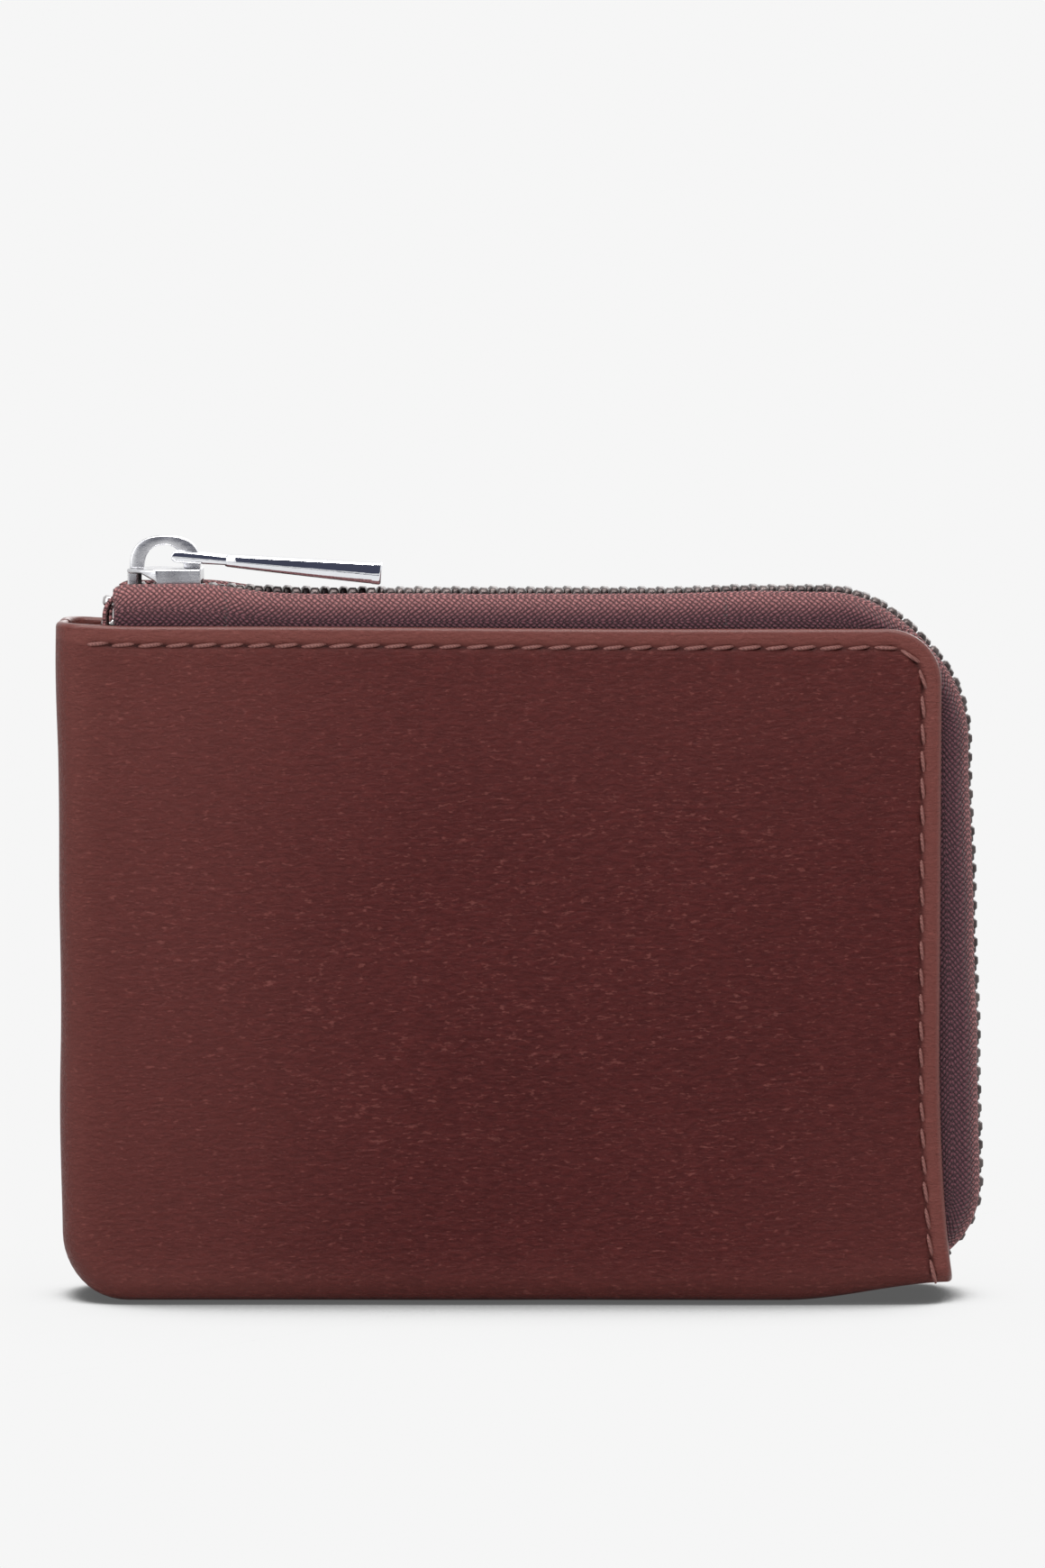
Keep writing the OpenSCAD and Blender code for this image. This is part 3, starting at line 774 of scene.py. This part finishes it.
# ---- Zip tape ----
# Two halves of woven herringbone tape. Each carries its teeth on the flat edge, bends down
# over the hem and is sewn inside the panel. At the left both halves turn down into the
# pouch, and at the bottom right they curl in behind the side hem.
zip_z = 91.5
zip_turn_r = 2.8
zip_turn_x = -50.6
zip_turn_l = zip_turn_r * math.pi / 2
zip_drop = 6.0
zip_corner_r = 19.0
zip_corner_x = 39.7
zip_side_x = zip_corner_x + zip_corner_r
zip_curl_r = 10.7
zip_curl_z = 15.0
zip_run = zip_corner_x - zip_turn_x
zip_corner_end = zip_run + zip_corner_r * math.pi / 2
zip_side_end = zip_corner_end + zip_z - zip_corner_r - zip_curl_z
zip_end = zip_side_end + zip_curl_r * math.pi / 3
tape_start = -9.6
tape_bend_from = -2.3
tape_step = 0.55
zip_sag = (
    (-20, 0), (9, 0), (24, 0.5), (68, 0.5), (80, 0.2), (89, 0.2), (106, 2.0), (121, 1.9), (142, 1.15),
    (160, 0.55), (178, 0.1), (200, 0),
)


def zip_route(s):
    """A point of the zip's line and its outward direction, s from the top left."""
    if s < -zip_turn_l:
        return zip_turn_x - zip_turn_r, zip_z - zip_turn_r + s + zip_turn_l, -1.0, 0.0
    if s < 0:
        turn = -s / zip_turn_r
        out_x, out_z = -math.sin(turn), math.cos(turn)
        return zip_turn_x + zip_turn_r * out_x, zip_z - zip_turn_r + zip_turn_r * out_z, out_x, out_z
    if s < zip_run:
        return zip_turn_x + s, zip_z, 0.0, 1.0
    if s < zip_corner_end:
        turn = (s - zip_run) / zip_corner_r
        out_x, out_z = math.sin(turn), math.cos(turn)
        return zip_corner_x + zip_corner_r * out_x, zip_z - zip_corner_r + zip_corner_r * out_z, out_x, out_z
    if s < zip_side_end:
        return zip_side_x, zip_z - zip_corner_r - (s - zip_corner_end), 1.0, 0.0
    turn = (s - zip_side_end) / zip_curl_r
    out_x, out_z = math.cos(turn), -math.sin(turn)
    return zip_side_x - zip_curl_r + zip_curl_r * out_x, zip_curl_z + zip_curl_r * out_z, out_x, out_z


def zip_line(s):
    """The zip's line as it lies in the sewn pouch, pulled in a little along the way."""
    x, z, out_x, out_z = zip_route(s)
    sag = 0.0
    for (s0, a), (s1, b) in zip(zip_sag, zip_sag[1:]):
        if s0 <= s < s1:
            sag = a + (b - a) * smooth((s - s0) / (s1 - s0))
    return x - out_x * sag, z - out_z * sag, out_x, out_z


def zip_parting(s):
    """The rows stand apart to the left of the slider's divider."""
    return 1.6 * smooth((4.8 - s) / 3.8)


def tape_section(s):
    """Distance out from the middle, height over the weave's edge, way across it, and painted shade carried as
    tuck.
    """
    swell = 0.42 + 0.7 * (1 - smooth((s - 9) / 10)) - 0.25 * smooth((s - 84) / 14)
    shape = (
        (1.3, 0.0), (2.0, 0.02), (2.7, 0.02), (3.4, 0.06), (4.1, 0.14), (4.7, 0.3), (5.15, swell * 0.8),
        (5.5, swell), (5.85, swell - 0.16), (6.15, swell - 0.5), (6.4, swell - 1.0), (6.6, -0.9), (6.72, -1.6),
        (6.8, -2.3), (6.84, -3.1), (6.84, -4.2), (6.84, -5.6), (6.84, -7.2), (6.84, -9.2),
    )
    across = 0.0
    section = []
    for i, (out, drop) in enumerate(shape):
        if i:
            across += math.hypot(out - shape[i - 1][0], drop - shape[i - 1][1])
        # Painted shade: the tape darkens as it drops towards the hem, and more along the side run below its top
        # edge.
        shaded = 0.5 * smooth((s - 88) / 16) * smooth((swell - drop) / 0.8)
        section.append((out, drop, across, min(1.0, smooth((0.5 - drop) / 3.6) + shaded)))
    return section


def tape_piece(name, side, s_from, s_to):
    """A length of one tape half; its bent part starts no further left than tape_bend_from."""
    bm = bmesh.new()
    weave = bm.verts.layers.float_vector.new("weave")
    # The tuck mark carries painted shade.
    tuck = bm.verts.layers.float.new("tuck")
    count = max(2, int((s_to - s_from) / tape_step))
    columns = []
    for i in range(count + 1):
        s = s_from + (s_to - s_from) * i / count
        x, z, out_x, out_z = zip_line(s)
        column = []
        for j, (out, drop, across, painted_shade) in enumerate(tape_section(s)):
            if s < tape_bend_from and j > 5:
                column.append(None)
                continue
            spread = zip_parting(s) * max(0.0, 1 - max(0.0, across - 1.5) / 3.2)
            wave = 0.10 * noise.noise(Vector((s / 7, across / 4, 3.1 if side < 0 else 9.4)))
            push = drop + wave * min(1.0, across / 3)
            if s < 0 and j > 5:
                spot = (x, side * (out + spread), z + push)
            else:
                spot = (x + out_x * push, side * (out + spread + wave), z + out_z * push)
            vertex = bm.verts.new([c * mm for c in spot])
            vertex[weave] = (s * mm, across * mm, 0)
            vertex[tuck] = painted_shade
            column.append(vertex)
        columns.append(column)
    join_rows(bm, columns)
    bmesh.ops.delete(bm, geom=[v for v in bm.verts if not v.link_faces], context="VERTS")
    bmesh.ops.recalc_face_normals(bm, faces=bm.faces)
    bm.normal_update()
    high = sum(f.normal.z * f.calc_area() for f in bm.faces if f.calc_center_median().z > 0.088)
    far = sum(f.normal.x * f.calc_area() for f in bm.faces if f.calc_center_median().x > 0.055)
    if high + far < 0:
        bmesh.ops.reverse_faces(bm, faces=bm.faces)
    return finished(name, bm, tape_cloth, thickness=0.5, offset=0.0)


def twill_group():
    """A herringbone weave from the way along and across the cloth, in metres."""
    tree, given = shader_group(
        "herringbone", {"Cloth": None, "Thread": 0.0008, "Band": 0.0016}, ("Height", "Shade")
    )
    split = node(tree, "ShaderNodeSeparateXYZ", {0: given["Cloth"]}).outputs
    wobble = calc(tree, "SUBTRACT", noise_on(tree, given["Cloth"], 700), 0.5)
    along = calc(tree, "ADD", split["X"], calc(tree, "MULTIPLY", wobble, 0.0007))
    zigzag = calc(tree, "PINGPONG", split["Y"], given["Band"])

    def threads(slope):
        leaning = calc(tree, "MULTIPLY_ADD", zigzag, slope, along)
        turns = calc(tree, "MULTIPLY", calc(tree, "DIVIDE", leaning, given["Thread"]), math.pi)
        return calc(tree, "ABSOLUTE", calc(tree, "SINE", turns))

    body = calc(tree, "POWER", threads(1.3), 0.8)
    height = calc(tree, "MULTIPLY", body, calc(tree, "MULTIPLY_ADD", threads(-0.9), 0.75, 0.25))
    fuzz = noise_on(tree, given["Cloth"], 2300)
    shade = calc(tree, "MULTIPLY", height, calc(tree, "MULTIPLY_ADD", fuzz, 1.9, 0.1))
    node(tree, "NodeGroupOutput", {"Height": height, "Shade": shade})
    return tree


herringbone = twill_group()


def cloth_finish(name, deep, pale, attribute, thread_size, band, bump):
    """Woven cloth: dark between the threads and paler on their crowns."""
    material, tree = new_finish(name)
    if attribute:
        where = node(tree, "ShaderNodeAttribute", attribute_name=attribute).outputs["Vector"]
    else:
        upright = {"Vector": place_on(tree), "Rotation": (math.radians(90), 0, 0)}
        where = node(tree, "ShaderNodeMapping", upright).outputs[0]
    laid = {"Cloth": where, "Thread": thread_size, "Band": band}
    weave = node(tree, "ShaderNodeGroup", laid, node_tree=herringbone).outputs
    colour = mixed(tree, weave["Shade"], deep, pale)
    # Painted shade: where the tuck mark lies, the colour is multiplied by a dull purple.
    surface(tree, {
        "Base Color": mixed(tree, marked(tree, "tuck"), colour, (0.32, 0.27, 0.36), blend_type="MULTIPLY"),
        "Roughness": ranged(tree, weave["Shade"], 0.95, 0.7),
        "Normal": relief(tree, weave["Height"], bump, 0.0003),
        "Specular IOR Level": 0.2,
        "Sheen Weight": 0.12,
    })
    return material


tape_cloth = cloth_finish(
    "woven_tape", (0.050, 0.019, 0.024), (0.37, 0.152, 0.150), "weave", 0.00078, 0.0016, 1.0
)
part_left = (-0.050, -0.038)
part_right = (0.0260, 0.0345)
tape_left_s = part_left[1] * 1000 - zip_turn_x
tape_right_s = part_right[0] * 1000 - zip_turn_x


def corner_blend(piece):
    """Bakes the piece's placement into its mesh."""
    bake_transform(piece)


for side, row, half in ((-1, "front_rim", "front"), (1, "back_rim", "back")):
    left = tape_piece(half + "_tape_left", side, tape_start, tape_left_s)
    corner_blend(left)
    middle = tape_piece(half + "_tape_middle", side, tape_left_s, tape_right_s)
    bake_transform(middle)
    right = tape_piece(half + "_tape_right", side, tape_right_s, zip_end)
    corner_blend(right)
    for piece, length, cut_area in (
        (left, tape_left_s - tape_start, 0.000235),
        (middle, tape_right_s - tape_left_s, 0.00091),
        (right, zip_end - tape_right_s, 0.00145),
    ):
        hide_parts(half + "_tape")

# ---- Zip teeth ----
# Metal teeth pressed onto the tapes' edges, 2.4 mm apart, with the two rows half a step
# out so that their heads interlock. Silver metal: the teeth along the top and the side are given a dark colour
# as painted shade, and the turned-down teeth at the left keep a bright silver.
tooth_pitch = 2.4


def tooth_shape(name, side):
    """One tooth: its head, and its two legs clenched over the tape's edge."""
    stations = (
        (0.55, 0.40, 0.85), (0.2, 0.48, 1.08), (-0.55, 0.5, 1.14), (-0.95, 0.64, 1.2),
        (-1.7, 0.7, 1.24), (-2.4, 0.68, 1.16), (-2.82, 0.56, 0.92), (-2.92, 0.36, 0.6),
    )
    verts = []
    for out, half_w, half_h in stations:
        cut = min(half_w, half_h) * 0.45
        for x, z in (
            (-half_w + cut, half_h), (half_w - cut, half_h), (half_w, half_h - cut), (half_w, cut - half_h),
            (half_w - cut, -half_h), (cut - half_w, -half_h), (-half_w, cut - half_h), (-half_w, half_h - cut),
        ):
            verts.append((x * mm, -side * out * mm, z * mm))
    faces = rings_to_faces(len(stations), 8)
    if side < 0:
        faces = [tuple(reversed(face)) for face in faces]
    return hidden_shape(name, verts, faces)


def metal_group():
    """Fine wear: patches of tarnish and hairline scratches."""
    tree, given = shader_group("metal_wear", {"Place": None, "Patch": 350.0}, ("Tarnish", "Scratch"))
    patches = noise_on(tree, given["Place"], given["Patch"], Detail=4)
    hairs = noise_on(tree, given["Place"], (500, 2500, 6000), Detail=3)
    node(tree, "NodeGroupOutput", {"Tarnish": stretched(tree, patches, 0.35, 0.65), "Scratch": hairs})
    return tree


metal_wear = metal_group()


def metal_finish(name, clean, tarnished, rough, rough_spread, patch, bump):
    """Plated metal with patches of tarnish and fine scratches."""
    material, tree = new_finish(name)
    laid = {"Place": place_on(tree), "Patch": patch}
    wear = node(tree, "ShaderNodeGroup", laid, node_tree=metal_wear).outputs
    surface(tree, {
        "Base Color": mixed(tree, wear["Tarnish"], clean, tarnished),
        "Metallic": 1,
        "Roughness": ranged(tree, wear["Scratch"], rough, rough + rough_spread),
        "Normal": relief(tree, wear["Scratch"], bump, 0.00005),
    })
    return material


# Painted shade: the teeth's silver is given a dark colour; the bright copy is the same silver without it.
tooth_metal_painted_dark = metal_finish("teeth_painted_dark", (0.13, 0.108, 0.105), (0.05, 0.04, 0.04), 0.26, 0.25, 300, 0.2)
bright_metal = metal_finish("bright_silver_teeth", (0.62, 0.6, 0.6), (0.3, 0.28, 0.28), 0.14, 0.2, 300, 0.3)
row_offset = tooth_pitch / 2


def tooth_row(name, side, first, last, shift, metal):
    """Teeth from number first to number last of one row."""
    line = []
    count = (last - first) * 12
    for i in range(count + 1):
        s = (first + (last - first) * i / count) * tooth_pitch + shift
        x, z, _, _ = zip_line(s)
        line.append((x * mm, side * zip_parting(s) * mm, z * mm))
    shape = front_tooth if side < 0 else back_tooth
    return along_line(name, line, shape, tooth_pitch * mm, 0.0, 0.025, metal)


front_tooth = tooth_shape("front_tooth_shape", -1)
back_tooth = tooth_shape("back_tooth_shape", 1)
for side, row, half, shift, last in (
    (-1, "front_rim", "front", 0.0, 77), (1, "back_rim", "back", row_offset, 76)
):
    turned = tooth_row(half + "_teeth_turned", side, -3, -1, shift, bright_metal)
    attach(turned, "shell")
    left = tooth_row(half + "_teeth_left", side, 0, 14, shift, tooth_metal_painted_dark)
    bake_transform(left)
    right = tooth_row(half + "_teeth_right", side, 15, 37, shift, tooth_metal_painted_dark)
    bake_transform(right)
    down = tooth_row(half + "_teeth_down", side, 38, last, shift, tooth_metal_painted_dark)
    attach(down, "shell")
    for piece in (turned, left, right):
        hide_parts(half + "_teeth_top")
    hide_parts(half + "_teeth_side")

# ---- Zip stops ----
# Small metal clips that keep the slider on: one on each tape's turned-down end, and one
# bar across both tapes at the far end. They are pressed from the same metal as the teeth and carry the same
# painted dark colour.


def ease_edges(piece, width, degrees, segments=3, keep_sharp=True):
    """Rounds the edges sharper than an angle, with even shading on the flats."""
    ease = piece.modifiers.new("eased_edges", "BEVEL")
    ease.width = width * mm
    ease.segments = segments
    ease.limit_method = "ANGLE"
    ease.angle_limit = math.radians(degrees)
    shading = piece.modifiers.new("even_shading", "WEIGHTED_NORMAL")
    shading.keep_sharp = keep_sharp


def eased_copy(name, source, material, width, lip=None):
    """A copy of a plain part with joined facets and eased edges; lip is end, underside and rise."""
    bm = bmesh.new()
    bm.from_mesh(bpy.data.objects[source].data)
    bmesh.ops.remove_doubles(bm, verts=bm.verts, dist=1e-6)
    if lip:
        for vertex in bm.verts:
            if vertex.co.x < lip[0] and abs(vertex.co.z - lip[1]) < 1e-5:
                vertex.co.z += lip[2]
    bmesh.ops.dissolve_limit(
        bm, angle_limit=math.radians(2), verts=bm.verts, edges=bm.edges, use_dissolve_boundaries=False
    )
    piece = finished(name, bm, material)
    ease_edges(piece, width, 32)
    return piece


for stop in ("front_top_stop", "back_top_stop", "bottom_stop"):
    piece = eased_copy(stop + "_clip", stop, tooth_metal_painted_dark, 0.22)
    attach(piece, "shell")
    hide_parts(stop)

# ---- Slider ----
# A die-cast body of two plates and a divider, with flanges that press the rows together,
# and an arched crown on top that holds the pull. Satin nickel, a little worn.
slider_metal = metal_finish("satin_nickel", (0.70, 0.70, 0.72), (0.52, 0.52, 0.54), 0.16, 0.2, 420, 0.08)
slider_low, slider_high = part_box("slider_body")
top_plate_t = 0.0016
lip_length = 0.0034
lip_rise = 0.0011
crown_half_w = 0.95
crown_thick = 1.2
slider_lip = (slider_low[0] + lip_length, slider_high[2] - top_plate_t, lip_rise)
slider = eased_copy("slider", "slider_body", slider_metal, 0.4, slider_lip)
crown_low, crown_high = (Vector(v) * 1000 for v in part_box("slider_crown"))
crown_x = (crown_low.x + crown_high.x) / 2
crown_outer = ((crown_high.x - crown_low.x) / 2, crown_high.z - crown_low.z, 2.6)
crown_inner = (2.55, crown_high.z - crown_low.z - crown_thick, 2.3)


def arch_point(angle, size, x):
    """A point of a flat-footed arch, rounded squarely."""
    half_l, height, squareness = size
    c, s = math.cos(angle), math.sin(angle)
    scale = (abs(c) ** squareness + abs(s) ** squareness) ** (-1 / squareness)
    return x + half_l * c * scale, crown_low.z + height * max(0.0, s) * scale


def add_loft(bm, rings):
    """A closed form through rings of points."""
    made = [[bm.verts.new(spot) for spot in ring] for ring in rings]
    around = len(made[0])
    for a, b in zip(made, made[1:]):
        for j in range(around):
            k = (j + 1) % around
            bm.faces.new((a[j], a[k], b[k], b[j]))
    bm.faces.new(list(reversed(made[0])))
    bm.faces.new(made[-1])


bm = bmesh.new()
crown_steps = 48
rings = []
for i in range(crown_steps + 1):
    angle = math.pi * i / crown_steps
    out_x, out_z = arch_point(angle, crown_outer, crown_x)
    in_x, in_z = arch_point(angle, crown_inner, crown_x - 0.15)
    section = ((out_x, -1, out_z), (out_x, 1, out_z), (in_x, 1, in_z), (in_x, -1, in_z))
    rings.append([(x * mm, side * crown_half_w * mm, z * mm) for x, side, z in section])
add_loft(bm, rings)
bmesh.ops.recalc_face_normals(bm, faces=bm.faces)
crown = finished("crown", bm, slider_metal)
ease_edges(crown, 0.38, 40)
for piece, replaced in ((slider, "slider_body"), (crown, "slider_crown")):
    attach(piece, "slider")
    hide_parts(replaced)

# ---- Pull ----
# One long polished bar, wider and thicker towards its free end, with an eye whose
# crossbar hangs in the crown. Chromed brass.
pull_metal = metal_finish("polished_chrome", (0.86, 0.87, 0.9), (0.78, 0.79, 0.83), 0.03, 0.05, 200, 0.04)
hinge = next(j for j in frame["record"]["behaviour"]["joints"] if j["name"] == "pull_swing")["pos_m"]
eye_out = 1.62
crossbar_r = 0.62
flank_shares = [1 - i / 4 for i in range(9)]
pull_slope = math.radians(4.9)
pull_forward = Vector((math.cos(pull_slope), 0, -math.sin(pull_slope)))
pull_up = Vector((math.sin(pull_slope), 0, math.cos(pull_slope)))


def pull_spot(along, out, up):
    """A place on the pull, from its hinge, in the pull's own directions."""
    return Vector(hinge) + (pull_forward * along + Vector((0, out, 0)) + pull_up * up) * mm


def bar_ring(along, half_w, half_t, flank):
    """A bar's section: flat above and below, with bowed flanks."""
    bow = [(half_w + flank * (1 - share ** 2), share * (half_t - 0.12)) for share in flank_shares]
    flat = half_w - 0.16
    places = [(-out, up) for out, up in bow] + [(-flat, -half_t), (flat, -half_t)]
    places += [(out, -up) for out, up in bow] + [(flat, half_t), (-flat, half_t)]
    return [pull_spot(along, out, up) for out, up in places]


def round_ring(along, out, half_w, half_t, squareness, count):
    """A rounded section of the eye, from its middle."""
    ring = []
    for i in range(count):
        c, s = math.cos(2 * math.pi * i / count), math.sin(2 * math.pi * i / count)
        wide = half_w * math.copysign(abs(c) ** squareness, c)
        ring.append(pull_spot(along, out + wide, half_t * math.copysign(abs(s) ** squareness, s)))
    return ring


bm = bmesh.new()
add_loft(bm, [bar_ring(*section) for section in (
    (6.2, 1.9, 0.62, 0.05), (6.5, 2.05, 0.74, 0.12), (8, 2.1, 0.80, 0.14), (11, 2.15, 0.90, 0.17),
    (14, 2.2, 1.0, 0.19), (17, 2.25, 1.09, 0.2), (20, 2.3, 1.17, 0.2), (23, 2.33, 1.25, 0.19),
    (25.2, 2.35, 1.3, 0.18), (25.35, 2.37, 1.35, 0.16), (26.2, 2.37, 1.35, 0.14), (26.4, 2.2, 1.2, 0.1),
)])
for side in (-1, 1):
    add_loft(bm, [
        round_ring(along, side * eye_out, 0.44, half_t, 0.6, 12)
        for along, half_t in ((-0.72, 0.3), (-0.6, 0.52), (-0.3, 0.7), (0.2, 0.76), (2.5, 0.72), (6.9, 0.55))
    ])
turns = [2 * math.pi * i / 16 for i in range(16)]
add_loft(bm, [
    [pull_spot(crossbar_r * math.cos(turn), out, crossbar_r * math.sin(turn)) for turn in turns]
    for out in (-1.5, -0.8, 0, 0.8, 1.5)
])
bmesh.ops.recalc_face_normals(bm, faces=bm.faces)
pull = finished("pull_bar", bm, pull_metal)
ease_edges(pull, 0.08, 40, segments=2, keep_sharp=False)
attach(pull, "pull")
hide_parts("pull_tab")

# ---- Linings ----
# A plain dark cloth lining is sewn inside each panel, from the seam allowance up to the
# zip tape, with its corners cut to follow the panel's.


def cut_sheet(name, outline, y, faces_front, material, thickness, belly, seed):
    """A flat cut of cloth or thin leather that stands upright at y, slightly uneven."""
    step = 2.2
    points = []
    for (ax, az), (bx, bz) in zip(outline, outline[1:] + outline[:1]):
        count = max(1, round(math.hypot(bx - ax, bz - az) / step))
        for i in range(count):
            points.append(Vector((ax + (bx - ax) * i / count, az + (bz - az) * i / count)))
    border = [(i, (i + 1) % len(points)) for i in range(len(points))]
    edge = list(points)
    low_x, high_x = min(p.x for p in points), max(p.x for p in points)
    low_z, high_z = min(p.y for p in points), max(p.y for p in points)
    x = low_x + step
    while x < high_x - step * 0.4:
        z = low_z + step
        while z < high_z - step * 0.4:
            spot = Vector((x, z))
            inside = False
            for a, b in zip(edge, edge[1:] + edge[:1]):
                if (a.y > z) != (b.y > z) and x < a.x + (z - a.y) / (b.y - a.y) * (b.x - a.x):
                    inside = not inside
            if inside and min((p - spot).length for p in edge) > step * 0.45:
                points.append(spot)
            z += step
        x += step
    spots, _, triangles, *_ = delaunay_2d_cdt(points, border, [], 1, 1e-5)
    bm = bmesh.new()
    rub_and_painted_light = bm.verts.layers.float.new("rub_and_painted_light")
    verts = []
    for spot in spots:
        share = min(spot.x - low_x, high_x - spot.x, high_z - spot.y, spot.y - low_z)
        bow = belly * noise.noise(Vector((spot.x / 17, spot.y / 14, seed))) * smooth(share / 8)
        vertex = bm.verts.new((spot.x * mm, (y + bow) * mm, spot.y * mm))
        # The top edge is marked to be made paler, as rubbed wear and a painted highlight.
        vertex[rub_and_painted_light] = bell(high_z - spot.y, 1.5)
        verts.append(vertex)
    for a, b, c in triangles:
        bm.faces.new((verts[a], verts[b], verts[c]))
    bm.normal_update()
    for face in bm.faces:
        if (face.normal.y < 0) != faces_front:
            face.normal_flip()
    return finished(name, bm, material, thickness=thickness)


def rounded_corner(x, z, radius):
    """The bottom left corner of a cut, from its side to its bottom."""
    return [
        (x + radius - radius * math.cos(a), z + radius - radius * math.sin(a))
        for a in [math.pi / 2 * i / 6 for i in range(7)]
    ]


lining_cloth = cloth_finish(
    "lining_cloth", (0.012, 0.008, 0.008), (0.03, 0.021, 0.021), None, 0.0004, 0.5, 0.35
)
lining_y = 6.24
lining_cut = rounded_corner(-56.4, 3.6, 5.4)
lining_cut += [(45.0, 3.6), (48.5, 8.0), (50.9, 20.0), (50.9, 86.0), (-56.4, 86.0)]
for half, side, seed in (("front", -1, 2.0), ("back", 1, 6.0)):
    name = half + "_lining_cloth"
    piece = cut_sheet(name, lining_cut, side * lining_y, side > 0, lining_cloth, 0.3, 0.05, seed)
    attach(piece, "shell")
    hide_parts(half + "_lining")

# ---- Card pockets ----
# A backing of thin smooth leather is sewn to the back lining, and three pockets of the
# same leather are stepped on it. Each pocket's mouth has a rounded notch cut in it.
pocket_leather = leather_finish(
    "pocket_leather", (0.04, 0.012, 0.012), (0.065, 0.021, 0.02), (0.10, 0.036, 0.034), 0.5, 0.3, 1.4
)
pocket_t = 0.4
notch_half_w = 9
notch_depth = 2.6


def box_in_mm(part):
    """The low and the high corner of a plain part, in millimetres."""
    return [[c * 1000 for c in corner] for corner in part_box(part)]


for part in ("card_backing", "card_pocket_upper", "card_pocket_middle", "card_pocket_lower"):
    (low_x, low_y, low_z), (high_x, high_y, high_z) = box_in_mm(part)
    cut = [(low_x, low_z), (high_x, low_z), (high_x, high_z)]
    if part != "card_backing":
        middle_x = (low_x + high_x) / 2
        for i in range(13):
            turn = math.pi * i / 12
            cut.append((middle_x + notch_half_w * math.cos(turn), high_z - notch_depth * math.sin(turn)))
    cut.append((low_x, high_z))
    piece = cut_sheet(part + "_leather", cut, low_y + 0.04, True, pocket_leather, pocket_t, 0.03, low_y)
    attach(piece, "shell")
    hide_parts(part)

# ---- Coin pocket ----
# Two walls of the same thin leather, joined along the left side and the bottom by a
# narrow cloth gusset, stand between the card pockets and the front compartment.
coin_corner = 3.8
for part, faces_front in (("coin_pocket_front", True), ("coin_pocket_back", False)):
    (low_x, low_y, low_z), (high_x, high_y, high_z) = box_in_mm(part)
    corner = rounded_corner(low_x, low_z, coin_corner)
    cut = corner + [(high_x - x + low_x, z) for x, z in reversed(corner)]
    cut += [(high_x, high_z), (low_x, high_z)]
    outer = low_y + 0.05 if faces_front else high_y - 0.05
    piece = cut_sheet(part + "_leather", cut, outer, faces_front, pocket_leather, pocket_t, 0.03, low_y)
    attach(piece, "shell")
    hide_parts(part)

(low_x, low_y, low_z), (high_x, high_y, high_z) = box_in_mm("coin_pocket_gusset")
corner = rounded_corner(low_x, low_z, coin_corner)
corner_top = low_z + coin_corner
line = [(low_x, high_z + (corner_top - high_z) * i / 30) for i in range(30)]
line += corner
line += [(low_x + coin_corner + (high_x - low_x - 2 * coin_corner) * i / 40, low_z) for i in range(1, 40)]
line += [(high_x - x + low_x, z) for x, z in reversed(corner)]
line += [(high_x, corner_top + (high_z - corner_top) * i / 30) for i in range(1, 31)]
bm = bmesh.new()
columns = []
length = 0.0
for i, (x, z) in enumerate(line):
    before, after = line[max(0, i - 1)], line[min(len(line) - 1, i + 1)]
    along = Vector((after[0] - before[0], after[1] - before[1])).normalized()
    length += math.hypot(x - line[i - 1][0], z - line[i - 1][1]) if i else 0
    column = []
    for j in range(5):
        share = j / 4
        tuck = 0.25 * math.sin(math.pi * share)
        spot = (x - along.y * (0.05 + tuck), low_y + (high_y - low_y) * share, z + along.x * (0.05 + tuck))
        column.append(bm.verts.new([c * mm for c in spot]))
    columns.append(column)
join_rows(bm, columns)
bmesh.ops.recalc_face_normals(bm, faces=bm.faces)
bm.normal_update()
lean = sum(f.normal.z * f.calc_area() for f in bm.faces if f.calc_center_median().z < 0.007)
if lean > 0:
    bmesh.ops.reverse_faces(bm, faces=bm.faces)
gusset = finished("coin_gusset_cloth", bm, lining_cloth, thickness=0.3)
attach(gusset, "shell")
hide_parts("coin_pocket_gusset")
